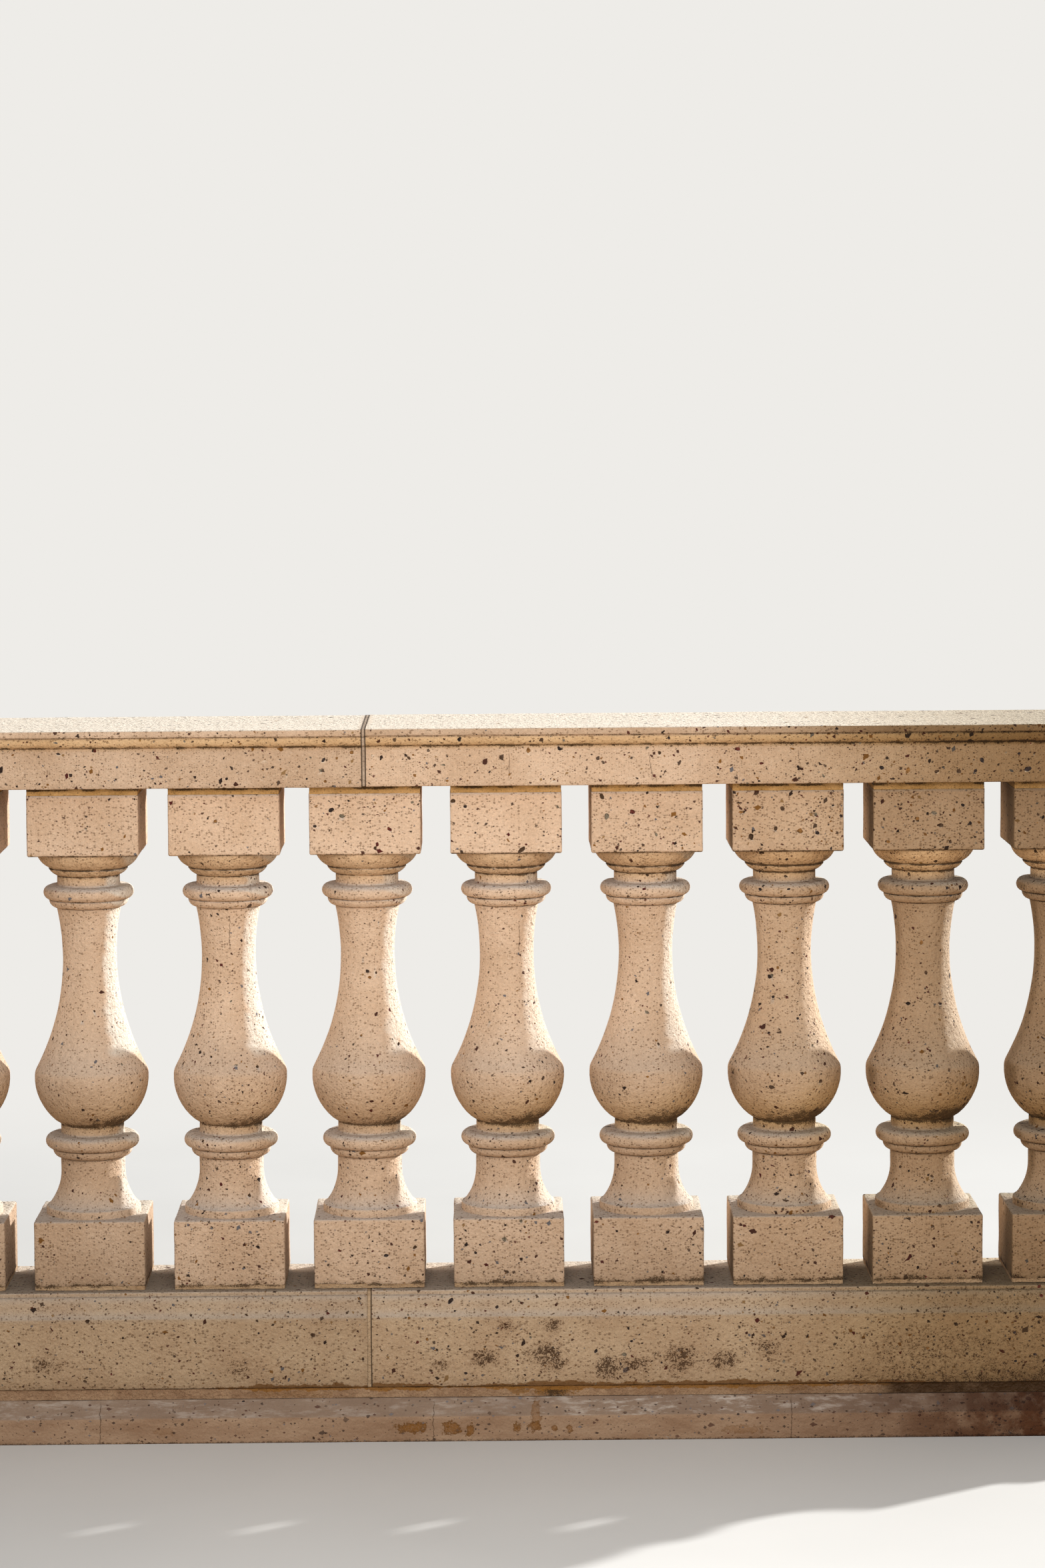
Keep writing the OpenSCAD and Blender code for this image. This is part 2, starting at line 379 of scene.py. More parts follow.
class Wire:
    """A value inside a node tree, written in sums like a plain number."""

    __add__ = __radd__ = operator("ADD")
    __mul__ = __rmul__ = operator("MULTIPLY")
    __sub__, __rsub__ = operator("SUBTRACT"), operator("SUBTRACT", turned=True)
    __truediv__, __rtruediv__ = operator("DIVIDE"), operator("DIVIDE", turned=True)

    def __init__(self, sheet: "Sheet", socket: bpy.types.NodeSocket) -> None:
        """Holds a node's output socket."""
        self.sheet = sheet
        self.socket = socket

    def __abs__(self) -> "Wire":
        """Drops the sign."""
        return self.sheet.maths("ABSOLUTE", self)


class Sheet:
    """A node tree being filled in, with short ways to add the usual nodes."""

    def __init__(self, tree: bpy.types.NodeTree) -> None:
        """Starts on a tree, which is emptied."""
        self.tree = tree
        tree.nodes.clear()

    def node(self, kind: str, inputs: dict[str | int, object], **settings: object) -> bpy.types.Node:
        """Adds a node.

        Args:
            kind: The node's type, without its ShaderNode beginning.
            inputs: Values or wires for its input sockets, by name or number.
            settings: Its other settings.

        Returns:
            The new node.
        """
        made = self.tree.nodes.new("ShaderNode" + kind)
        for name, value in settings.items():
            setattr(made, name, value)
        for name, value in inputs.items():
            self.put(made.inputs[name], value)
        return made

    def wire(self, kind: str, inputs: dict[str | int, object], output: str | int = 0,
             **settings: object) -> Wire:
        """Adds a node and gives one of its outputs, by name or number."""
        return Wire(self, self.node(kind, inputs, **settings).outputs[output])

    def put(self, socket: bpy.types.NodeSocket, value: object) -> None:
        """Wires a value to an input, or sets the input to a plain value.

        Args:
            socket: The input.
            value: A wire or a plain value.
        """
        if isinstance(value, Wire):
            self.tree.links.new(value.socket, socket)
        else:
            socket.default_value = value

    def maths(self, operation: str, *values: object, clamp: bool = False) -> Wire:
        """Works out an operation on one or two numbers."""
        return self.wire("Math", dict(enumerate(values)), operation=operation, use_clamp=clamp)

    def vector(self, operation: str, *values: object) -> Wire:
        """Works out an operation on vectors."""
        output = "Value" if operation in ("LENGTH", "DISTANCE") else "Vector"
        return self.wire("VectorMath", dict(enumerate(values)), output, operation=operation)

    def ramp(self, value: Wire, low: object, high: object, to_low: float = 0, to_high: float = 1) -> Wire:
        """Maps a value from low..high to to_low..to_high with soft ends, and clamps it.

        Args:
            value: The value to map.
            low: Where the result is to_low.
            high: Where it is to_high.
            to_low: Result at low and beyond it.
            to_high: Result at high and beyond it.

        Returns:
            The mapped value.
        """
        names = ("Value", "From Min", "From Max", "To Min", "To Max")
        inputs = dict(zip(names, (value, low, high, to_low, to_high)))
        return self.wire("MapRange", inputs, "Result", interpolation_type="SMOOTHSTEP")

    def mix(self, share: object, first: object, second: object, blend: str = "MIX") -> Wire:
        """Mixes two colours."""
        inputs = {0: share, 6: first, 7: second}
        return self.wire("Mix", inputs, 2, data_type="RGBA", blend_type=blend, clamp_factor=True)

    def noise(self, where: Wire, per_metre: float, detail: float = 2, rough: float = 0.5) -> Wire:
        """Cloudy noise, 0 to 1, with its grains per metre."""
        inputs = {"Vector": where, "Scale": per_metre, "Detail": detail, "Roughness": rough}
        return self.wire("TexNoise", inputs)

    def parts(self, where: Wire) -> list[Wire]:
        """Splits a vector into its X, Y and Z."""
        made = self.node("SeparateXYZ", {0: where})
        return [Wire(self, socket) for socket in made.outputs]


# Effects that several finishes share


class Effect:
    """A shader node group."""

    title: ClassVar[str]
    inputs: ClassVar[dict[str, float | Colour]]
    outputs: ClassVar[tuple[str, ...]] = ("Mask",)

    @classmethod
    def group(cls) -> bpy.types.NodeTree:
        """Gives the group, built the first time.

        Returns:
            The group's node tree.
        """
        found = bpy.data.node_groups.get(cls.title)
        if found:
            return found
        tree = bpy.data.node_groups.new(cls.title, "ShaderNodeTree")
        for name, value in cls.inputs.items():
            kind = "NodeSocketFloat" if isinstance(value, float) else "NodeSocketVector"
            tree.interface.new_socket(name=name, in_out="INPUT", socket_type=kind).default_value = value
        for name in cls.outputs:
            tree.interface.new_socket(name=name, in_out="OUTPUT", socket_type="NodeSocketFloat")
        sheet = Sheet(tree)
        given = tree.nodes.new("NodeGroupInput")
        result = tree.nodes.new("NodeGroupOutput")
        wires = {socket.name: Wire(sheet, socket) for socket in given.outputs if socket.name}
        for name, wire in cls.fill(sheet, wires).items():
            sheet.put(result.inputs[name], wire)
        return tree

    @classmethod
    def fill(cls, sheet: Sheet, given: dict[str, Wire]) -> dict[str, Wire]:
        """Draws the group's nodes.

        Args:
            sheet: The group's sheet.
            given: The group's inputs by name.

        Returns:
            The group's outputs by name.
        """
        raise NotImplementedError

    @classmethod
    def use(cls, sheet: Sheet, **values: object) -> dict[str, Wire]:
        """Places the group in a material.

        Args:
            sheet: The material's sheet.
            values: Its inputs by name, with _ for a blank.

        Returns:
            The placed group's outputs by name.
        """
        placed = sheet.tree.nodes.new("ShaderNodeGroup")
        placed.node_tree = cls.group()
        for name, value in values.items():
            sheet.put(placed.inputs[name.replace("_", " ")], value)
        return {socket.name: Wire(sheet, socket) for socket in placed.outputs}


class SandGrain(Effect):
    """Fine sand of the casting: light and dark grains, and the relief they make."""

    title = "sand grain"
    inputs = {"Vector": (0, 0, 0), "Contrast": 0.2}
    outputs = ("Tone", "Height")

    @classmethod
    def fill(cls, sheet: Sheet, given: dict[str, Wire]) -> dict[str, Wire]:
        """Grains of 1 mm and 3 mm. Tone is about 1, Height about 0, in millimetres.

        Args:
            sheet: The group's sheet.
            given: The group's inputs by name.

        Returns:
            The group's outputs by name.
        """
        where = given["Vector"]
        fine = sheet.ramp(sheet.noise(where, 780, 2, 0.62), 0.28, 0.72, -1, 1)
        coarse = sheet.ramp(sheet.noise(where, 250, 2, 0.55), 0.3, 0.7, -1, 1)
        swell = sheet.ramp(sheet.noise(where, 120, 1, 0.5), 0.3, 0.7, -1, 1)
        tone = (fine * 0.62 + coarse * 0.38) * given["Contrast"] + 1.0
        return {"Tone": tone, "Height": fine * 0.13 + coarse * 0.32 + swell * 0.42}


class StoneFlecks(Effect):
    """Angular, longish chips of aggregate in the cast surface, scattered in cells of a given size."""

    title = "stone flecks"
    inputs = {"Vector": (0, 0, 0), "Per metre": 100.0, "Share": 0.2, "Radius": 0.35, "Turn": 0.0}
    outputs = ("Mask", "Pick")

    @classmethod
    def fill(cls, sheet: Sheet, given: dict[str, Wire]) -> dict[str, Wire]:
        """Mask is 1 on a chip. Pick is a number, 0 to 1, that is one chip's own.

        Args:
            sheet: The group's sheet.
            given: The group's inputs by name.

        Returns:
            The group's outputs by name.
        """
        where, per_metre = given["Vector"], given["Per metre"]
        jag = sheet.wire("TexNoise", {"Vector": where, "Scale": per_metre * 1.7, "Detail": 1.0}, "Color")
        stray = {0: sheet.vector("SUBTRACT", jag, (0.5, 0.5, 0.5)), "Scale": 0.42 / per_metre}
        where = sheet.vector("ADD", where, sheet.wire("VectorMath", stray, "Vector", operation="SCALE"))
        lie = {"Vector": where, "Axis": (0.25, 1, 0.15), "Angle": given["Turn"]}
        turned = sheet.wire("VectorRotate", lie)
        where = sheet.vector("MULTIPLY", turned, (0.78, 1.0, 1.12))
        cells = sheet.node("TexVoronoi", {"Vector": where, "Scale": per_metre}, distance="MANHATTAN")
        red, green, blue = sheet.parts(Wire(sheet, cells.outputs["Color"]))
        radius = given["Radius"] * (green * 0.78 + 0.42)
        inside = radius - Wire(sheet, cells.outputs["Distance"])
        present = sheet.maths("LESS_THAN", red, given["Share"])
        return {"Mask": sheet.ramp(inside, 0.0, 0.06) * present, "Pick": blue}


class CreviceDirt(Effect):
    """Dirt that gathers in speckles where a painted amount lets it."""

    title = "crevice dirt"
    inputs = {"Vector": (0, 0, 0), "Amount": 0.0}

    @classmethod
    def fill(cls, sheet: Sheet, given: dict[str, Wire]) -> dict[str, Wire]:
        """Speckles of 2 mm in patches of 12 mm; they close up as Amount nears 1.

        Args:
            sheet: The group's sheet.
            given: The group's inputs by name.

        Returns:
            The group's outputs by name.
        """
        where, amount = given["Vector"], given["Amount"]
        level = sheet.noise(where, 520, 3, 0.72) * 0.62 + sheet.noise(where, 85, 2, 0.55) * 0.38
        floor = 0.76 - amount * 0.42
        return {"Mask": sheet.ramp(level, floor, floor + 0.13) * sheet.ramp(amount, 0.0, 0.25)}


class Mould(Effect):
    """Fine black-brown specks of mould, dense where a painted amount is high."""

    title = "mould specks"
    inputs = {"Vector": (0, 0, 0), "Amount": 0.0}
    outputs = ("Mask", "Halo")

    @classmethod
    def fill(cls, sheet: Sheet, given: dict[str, Wire]) -> dict[str, Wire]:
        """Specks of 1 to 3 mm in loose clumps. Halo is the brown bloom about them.

        Args:
            sheet: The group's sheet.
            given: The group's inputs by name.

        Returns:
            The group's outputs by name.
        """
        where, amount = given["Vector"], given["Amount"]
        lively = amount + sheet.ramp(sheet.noise(where, 130, 3, 0.6), 0.3, 0.7, -0.28, 0.28)
        floor = 0.78 - lively * 0.36
        mask = sheet.ramp(sheet.noise(where, 480, 2, 0.6), floor, floor + 0.06)
        present = sheet.ramp(amount, 0.02, 0.25)
        return {"Mask": mask * present, "Halo": sheet.ramp(lively, 0.1, 0.9) * present}


class JointSeep(Effect):
    """Ochre and dirt that seep out along a level joint, ragged above it and below."""

    title = "joint seep"
    inputs = {"Vector": (0, 0, 0), "Level": 0.084, "Above": 0.0070, "Below": 0.0065, "Amount": 0.0}
    outputs = ("Ochre", "Line")

    @classmethod
    def fill(cls, sheet: Sheet, given: dict[str, Wire]) -> dict[str, Wire]:
        """Ochre is the stain. Line is the thin, broken dark line of the joint itself.

        Args:
            sheet: The group's sheet.
            given: The group's inputs by name.

        Returns:
            The group's outputs by name.
        """
        where, amount = given["Vector"], given["Amount"]
        rise = sheet.parts(where)[2] - given["Level"]
        over = sheet.maths("MAXIMUM", rise, 0.0) / given["Above"]
        under = sheet.maths("MAXIMUM", rise * -1.0, 0.0) / given["Below"]
        rag = (sheet.noise(where, 85, 5, 0.7) - 0.5) * 2.2
        ochre = sheet.ramp(amount * 1.3 - (over + under + rag), 0.0, 0.3) * sheet.ramp(amount, 0.0, 0.12)
        wobble = (sheet.noise(where, 70, 3, 0.6) - 0.5) * 0.0024
        broken = sheet.ramp(sheet.noise(where, 32, 4, 0.65), 0.36, 0.6, 0.2, 1)
        return {"Ochre": ochre, "Line": sheet.ramp(abs(rise + wobble), 0.0014, 0.0005) * broken}


class StainPatch(Effect):
    """A ragged patch about one place, in the plane of the front."""

    title = "stain patch"
    inputs = {"Vector": (0, 0, 0), "Place": (0, 0, 0), "Half size": (0.02, 1, 0.01)}
    outputs = ("Mask", "Rim")

    @classmethod
    def fill(cls, sheet: Sheet, given: dict[str, Wire]) -> dict[str, Wire]:
        """Mask falls from 1 inside to 0 at the patch's ragged edge. Rim is 1 just inside that edge.

        Args:
            sheet: The group's sheet.
            given: The group's inputs by name.

        Returns:
            The group's outputs by name.
        """
        where = given["Vector"]
        off = sheet.vector("DIVIDE", sheet.vector("SUBTRACT", where, given["Place"]), given["Half size"])
        reach = sheet.vector("LENGTH", off) + (sheet.noise(where, 120, 5, 0.72) - 0.5) * 2.88
        speck = sheet.ramp(sheet.noise(where, 420, 2, 0.6), 0.3, 0.6, 0.55, 1)
        rim = sheet.ramp(reach, 1.05, 0.9) * sheet.ramp(reach, 0.55, 0.9)
        return {"Mask": sheet.ramp(reach, 1.1, 0.8) * speck, "Rim": rim}


class Hairline(Effect):
    """A hairline crack that runs up a face."""

    title = "hairline crack"
    inputs = {
        "Vector": (0, 0, 0), "Place": (0, 0, 0), "Half height": 0.03, "Sway": 0.008, "Width": 0.0009,
        "Lean": 0.0,
    }

    @classmethod
    def fill(cls, sheet: Sheet, given: dict[str, Wire]) -> dict[str, Wire]:
        """Mask is 1 in the crack, which fades out at its two ends.

        Args:
            sheet: The group's sheet.
            given: The group's inputs by name.

        Returns:
            The group's outputs by name.
        """
        x, _, z = sheet.parts(sheet.vector("SUBTRACT", given["Vector"], given["Place"]))
        middle = (sheet.noise(given["Vector"], 60, 4, 0.65) - 0.5) * given["Sway"] + z * given["Lean"]
        line = sheet.ramp(abs(x - middle), given["Width"], given["Width"] * 0.4)
        return {"Mask": line * sheet.ramp(abs(z), given["Half height"], given["Half height"] * 0.75)}


# Finishes


@dataclass(frozen=True)
class Crack:
    """Where a hairline crack is, in millimetres, and whether it goes right through to the back."""

    x: float
    y: float
    z: float
    half_height: float
    sway: float = 8
    width: float = 0.8
    lean: float = 0
    through: bool = False


@dataclass(frozen=True)
class Patch:
    """Where a stain of the front is and how far it reaches, in millimetres, and how strong it is."""

    x: float
    z: float
    half_width: float
    half_height: float
    strength: float


class Surface:
    """A material built up in layers of colour and height over Object coordinates."""

    def __init__(self, name: str, pale: Colour, deep: Colour) -> None:
        """Starts a material between a pale and a deep colour.

        Args:
            name: The material's name.
            pale: Its pale colour.
            deep: Its deep colour.
        """
        self.material = bpy.data.materials.new(name)
        self.material.use_nodes = True
        self.sheet = Sheet(self.material.node_tree)
        self.shader = self.sheet.node("BsdfPrincipled", {"Specular IOR Level": 0.25})
        self.sheet.node("OutputMaterial", {"Surface": Wire(self.sheet, self.shader.outputs[0])})
        self.where = self.sheet.wire("TexCoord", {}, "Object")
        self.pale, self.deep = linear(pale), linear(deep)

    def clouds(self, share: Wire) -> Wire:
        """Lays the two colours in clouds, and gives the clouds' share back."""
        self.colour = self.sheet.mix(share, self.pale, self.deep)
        return share

    def patches(self, per_metre: float, detail: float, rough: float, low: float, high: float,
                to_low: float = 0, to_high: float = 1) -> Wire:
        """Soft patches of noise.

        Args:
            per_metre: Patches per metre.
            detail: How many finer noises lie over the first.
            rough: How strong those are.
            low: The noise's value where to_low begins.
            high: The noise's value where to_high begins.
            to_low: The result outside the patches.
            to_high: The result inside them.

        Returns:
            The patches.
        """
        noise = self.sheet.noise(self.where, per_metre, detail, rough)
        return self.sheet.ramp(noise, low, high, to_low, to_high)

    def painted(self, name: str) -> Wire:
        """What was painted on the piece under a name, and 0 where nothing was."""
        return self.sheet.wire("Attribute", {}, "Fac", attribute_name=name, attribute_type="GEOMETRY")

    def layer(self, share: object, shade: Colour, blend: str = "MIX") -> None:
        """Lays a colour over what is there, as strongly as its share says."""
        self.colour = self.sheet.mix(share, self.colour, linear(shade), blend)

    def sand(self, contrast: float) -> Wire:
        """Darkens and lightens the colour by grains of sand, and gives their height.

        Args:
            contrast: How strongly the grains show.

        Returns:
            The grains' height.
        """
        grain = SandGrain.use(self.sheet, Vector=self.where, Contrast=contrast)
        self.colour = self.sheet.mix(1.0, self.colour, grain["Tone"], "MULTIPLY")
        return grain["Height"]

    def stones(self, shift: Colour, per_metre: float, share: object, radius: float,
               turn: float = 0) -> dict[str, Wire]:
        """Scatters chips of aggregate.

        Args:
            shift: Keeps one scatter from lying on another.
            per_metre: Cells per metre.
            share: How many of the cells hold a chip.
            radius: Radius of a chip in cells.
            turn: How the chips lie, in radians.

        Returns:
            The chips' mask, and a number that is each chip's own.
        """
        where = self.sheet.vector("ADD", self.where, shift)
        return StoneFlecks.use(
            self.sheet, Vector=where, Per_metre=per_metre, Share=share, Radius=radius, Turn=turn)

    def minerals(self, mask: Wire, pick: Wire) -> None:
        """Colours chips by their own numbers: charcoal, umber, slate, ochre or rust.

        Args:
            mask: How strongly the chips cover.
            pick: The chips' own numbers.
        """
        shades = (
            (0.0, (44, 32, 30)), (0.26, (74, 42, 34)), (0.46, (90, 72, 60)), (0.60, (110, 108, 112)),
            (0.70, (140, 96, 46)), (0.82, (86, 34, 32)), (0.94, (160, 126, 84)),
        )
        ramp = self.sheet.node("ValToRGB", {"Fac": pick})
        ramp.color_ramp.interpolation = "CONSTANT"
        stops = ramp.color_ramp.elements
        while len(stops) < len(shades):
            stops.new(0.5)
        for stop, (place, shade) in zip(stops, shades):
            stop.position = place
            stop.color = linear(shade)
        self.colour = self.sheet.mix(mask, self.colour, Wire(self.sheet, ramp.outputs["Color"]))

    def dirt(self, amount: Wire) -> Wire:
        """Gives the speckles that an amount of dirt makes."""
        return CreviceDirt.use(self.sheet, Vector=self.where, Amount=amount)["Mask"]

    def seep(self, level: float, ochre: Colour) -> Wire:
        """Lays the seep of the joint at a level, in millimetres, and gives the joint's line.

        Args:
            level: Height of the joint, in millimetres.
            ochre: Colour of the stain.

        Returns:
            The joint's dark line.
        """
        seep = JointSeep.use(self.sheet, Vector=self.where, Level=level * MM, Amount=self.painted("ochre"))
        self.layer(seep["Ochre"] * 0.85, ochre)
        self.layer(seep["Line"] * 0.8, (56, 40, 22))
        return seep["Line"]

    def stain(self, patch: Patch, ochre: Colour, rim: Colour | None = None) -> None:
        """Lays one stain, with a darker rim where one is given.

        Args:
            patch: Where the stain is.
            ochre: Its colour.
            rim: Colour of its rim, if it has one.
        """
        place = (patch.x * MM, -0.13, patch.z * MM)
        half = (patch.half_width * MM, 0.06, patch.half_height * MM)
        made = StainPatch.use(self.sheet, Vector=self.where, Place=place, Half_size=half)
        self.layer(made["Mask"] * patch.strength, ochre)
        if rim:
            self.layer(made["Rim"] * (patch.strength * 0.7), rim)

    def crack(self, crack: Crack, share: float, shade: Colour) -> Wire:
        """Lays one hairline crack and gives its mask.

        Args:
            crack: Where the crack is.
            share: How strongly it shows.
            shade: Its colour.

        Returns:
            The crack's mask.
        """
        place, tall = (crack.x * MM, crack.y * MM, crack.z * MM), crack.half_height * MM
        line = Hairline.use(
            self.sheet, Vector=self.where, Place=place, Half_height=tall, Sway=crack.sway * MM,
            Width=crack.width * MM, Lean=crack.lean)["Mask"]
        if not crack.through:
            line *= self.sheet.ramp(self.sheet.vector("DISTANCE", self.where, place), tall * 1.3, tall * 1.2)
        self.layer(line * share, shade)
        return line

    def shaded(self) -> None:
        """Darkens the colour by the painted shade."""
        self.layer(self.painted("shade"), (150, 142, 127), "MULTIPLY")

    def finished(self, roughness: Wire, height: Wire, relief: float = 1.0) -> bpy.types.Material:
        """Closes the material with its roughness and its height, and the height's unit in millimetres.

        Args:
            roughness: The surface's roughness.
            height: The surface's height.
            relief: One unit of height, in millimetres.

        Returns:
            The material.
        """
        normal = self.sheet.wire("Bump", {"Height": height, "Distance": relief * MM})
        inputs = {"Base Color": self.colour, "Roughness": roughness, "Normal": normal}
        for name, value in inputs.items():
            self.sheet.put(self.shader.inputs[name], value)
        return self.material


@dataclass(frozen=True)
class CastStone:
    """Warm beige cast stone with its sand, its chips of aggregate and its weathering, and painted sunlight,
    skylight grey and shade.
    """

    name: str = "cast_stone_weathered"
    pale: Colour = (229, 199, 171)
    deep: Colour = (214, 182, 152)
    # colour of the painted sunlight on tops and sunlit strips
    washed: Colour = (236, 226, 211)
    cracks: tuple[Crack, ...] = ()
    seep_level: float = 0

    def build(self) -> bpy.types.Material:
        """Makes the material from what was painted on the piece.

        Returns:
            The material.
        """
        skin = Surface(self.name, self.pale, self.deep)
        skin.clouds(skin.patches(9, 3, 0.6, 0.3, 0.7))
        # painted sunlight: paler tops and sunlit strips
        skin.layer(skin.painted("washed") * skin.patches(55, 3, 0.6, 0.15, 0.6, 0.7, 1), self.washed)
        # painted skylight: greyer tops where they are in shade
        skin.layer(skin.painted("cool") * 0.72, (194, 187, 181))
        height = skin.sand(0.16) + self.aggregate(skin)
        dirt = self.weather(skin)
        if self.seep_level:
            height -= skin.seep(self.seep_level, (132, 88, 36)) * 0.5
        damp = skin.painted("damp") * skin.patches(28, 4, 0.6, 0.25, 0.65, 0.55, 1)
        skin.layer(damp, (112, 80, 48), "MULTIPLY")
        for crack in self.cracks:
            height -= skin.crack(crack, 0.6, (84, 60, 38)) * 0.5
        # painted shade
        skin.shaded()
        return skin.finished(skin.sheet.maths("ADD", 0.9, dirt * 0.08, clamp=True), height)

    @staticmethod
    def aggregate(skin: Surface) -> Wire:
        """Lays single grains of sand and chips in five sizes, and gives the chips' height.

        Args:
            skin: The surface being built.

        Returns:
            The chips' height.
        """
        flecks = skin.painted("flecks") * skin.patches(15, 2, 0.5, 0.34, 0.66, 0.25, 1.25)
        skin.layer(skin.stones((0, 0, 0), 330, flecks * 0.20 + 0.26, 0.74)["Mask"] * 0.62, (116, 88, 62))
        skin.layer(skin.stones((3.1, 1.7, 0.4), 420, 0.16, 0.6)["Mask"] * 0.35, (244, 222, 196))
        height = None
        for per_metre, share, radius, solid, turn in (
            (240, 0.24, 0.58, 0.9, 0.5), (160, 0.17, 0.54, 0.97, -0.8), (115, 0.13, 0.50, 1.0, 1.2),
            (84, 0.12, 0.44, 1.0, -0.2), (56, 0.10, 0.37, 1.0, 0.85),
        ):
            away = per_metre / 17
            chips = skin.stones((away, away / 2, -away), per_metre, flecks * share, radius, turn)
            skin.minerals(chips["Mask"] * solid, chips["Pick"])
            sunk = chips["Mask"] * skin.sheet.ramp(chips["Pick"], 0.2, 0.8, -0.55, 0.12)
            height = sunk if height is None else height + sunk
        return height

    @staticmethod
    def weather(skin: Surface) -> Wire:
        """Lays yellowing, dirt in creases and mould, and gives the dirt's mask.

        Args:
            skin: The surface being built.

        Returns:
            The dirt's mask.
        """
        dirt = skin.dirt(skin.painted("dirt"))
        skin.layer(skin.painted("yellow"), (255, 244, 208), "MULTIPLY")
        skin.layer(skin.painted("dirt") * 0.30, (136, 98, 48))
        skin.layer(dirt * 0.82, (64, 44, 20))
        mould = Mould.use(skin.sheet, Vector=skin.where, Amount=skin.painted("mould"))
        skin.layer(mould["Halo"] * 0.26, (132, 90, 52))
        skin.layer(mould["Mask"] * 0.86, (72, 46, 24))
        return dirt


@dataclass(frozen=True)
class ChipLining:
    """The inside of a chipped-out hole, or the face of a chip of dark aggregate."""

    name: str
    shade: Colour
    share: float

    def build(self) -> bpy.types.Material:
        """Makes the material: one mineral, cloudy and rough.

        Returns:
            The material.
        """
        red, green, blue = self.shade
        skin = Surface(self.name, self.shade, (red * 0.62, green * 0.6, blue * 0.58))
        cloud = skin.clouds(skin.patches(300, 3, 0.6, 0.3, 0.7))
        roughness = skin.sheet.ramp(cloud, 0, 1, 0.75, 0.95)
        return skin.finished(roughness, skin.sheet.noise(skin.where, 600, 2, 0.6), 0.3)


@dataclass(frozen=True)
class KerbRender:
    """The smoother stone of the plinth kerb: trowelled, stained with ochre, with a pale bloom."""

    name: str
    stains: tuple[Patch, ...]
    cracks: tuple[Crack, ...]

    def build(self) -> bpy.types.Material:
        """Makes the material. Painted are the bloom, the painted skylight grey of the wash, flecks, dirt and
        damp.

        Returns:
            The material.
        """
        skin = Surface(self.name, (168, 140, 114), (146, 116, 91))
        sheet = skin.sheet
        streaks = sheet.wire("Mapping", {"Vector": skin.where, "Scale": (0.35, 1, 1.4)})
        cloud = skin.clouds(sheet.ramp(sheet.noise(streaks, 26, 5, 0.62), 0.3, 0.72))
        height = skin.sand(0.09) * 0.6 + cloud * 0.5
        # the pale layer here is the bloom of the wash
        washed = skin.painted("washed")
        # painted skylight: the wash is greyer
        skin.layer(skin.painted("cool") * 0.55, (116, 102, 92))
        bloom = washed * sheet.ramp(sheet.noise(streaks, 60, 6, 0.72), 0.47, 0.66)
        skin.layer(bloom * 0.85, (196, 184, 172))
        trowel = sheet.wire("Mapping", {"Vector": skin.where, "Scale": (0.12, 1, 1)})
        scratches = washed * sheet.ramp(sheet.noise(trowel, 420, 3, 0.6), 0.62, 0.72)
        skin.layer(scratches * 0.55, (206, 196, 184))
        for per_metre, share, radius, away in ((230, 0.26, 0.6, 2), (130, 0.16, 0.5, 4), (70, 0.12, 0.36, 7)):
            chips = skin.stones((away, 0, away), per_metre, skin.painted("flecks") * share, radius)
            skin.minerals(chips["Mask"] * 0.8, chips["Pick"] * 0.7)
            height -= chips["Mask"] * 0.4
        for stain in self.stains:
            skin.stain(stain, (128, 84, 32), (88, 56, 22))
        dirt = skin.dirt(skin.painted("dirt"))
        skin.layer(skin.painted("dirt") * 0.3, (104, 76, 50))
        skin.layer(dirt * 0.75, (58, 42, 28))
        damp = skin.painted("damp") * skin.patches(30, 4, 0.6, 0.3, 0.6, 0.5, 1)
        skin.layer(damp, (126, 81, 32), "MULTIPLY")
        for crack in self.cracks:
            height -= skin.crack(crack, 0.65, (70, 50, 34)) * 0.5
        return skin.finished(sheet.ramp(cloud, 0, 1, 0.78, 0.92), height)


@dataclass(frozen=True)
class Mortar:
    """Sandy mortar of a bed or a joint, with its dirt and its stains."""

    name: str
    pale: Colour
    deep: Colour
    dirt: Colour
    dirty: float = 0.5
    stains: tuple[Patch, ...] = ()
    seep_level: float = 0

    def build(self) -> bpy.types.Material:
        """Makes the material. Painted are dirt, damp, shade, gap and ochre.

        Returns:
            The material.
        """
        skin = Surface(self.name, self.pale, self.deep)
        skin.clouds(skin.patches(38, 4, 0.62, 0.32, 0.7))
        grain = skin.sand(0.18)
        for stain in self.stains:
            skin.stain(stain, (134, 92, 36))
        if self.seep_level:
            skin.seep(self.seep_level, (144, 98, 40))
        skin.layer(skin.stones((0, 0, 0), 300, 0.22, 0.6)["Mask"] * 0.4, self.dirt)
        dirt = skin.dirt(skin.painted("dirt") * 0.7 + skin.sheet.noise(skin.where, 45, 3, 0.6) * self.dirty)
        skin.layer(dirt * 0.85, self.dirt)
        wet = skin.painted("damp") * skin.patches(40, 4, 0.6, 0.2, 0.55, 0.75, 1)
        skin.layer(wet, (60, 38, 12))
        gap = skin.sheet.ramp(skin.painted("gap"), 0.25, 0.7)
        skin.layer(gap * 0.85, (58, 42, 26))
        skin.shaded()
        return skin.finished(0.93 - wet * 0.35, grain * 1.5 + dirt * -0.5)


Finish = CastStone | ChipLining | KerbRender | Mortar

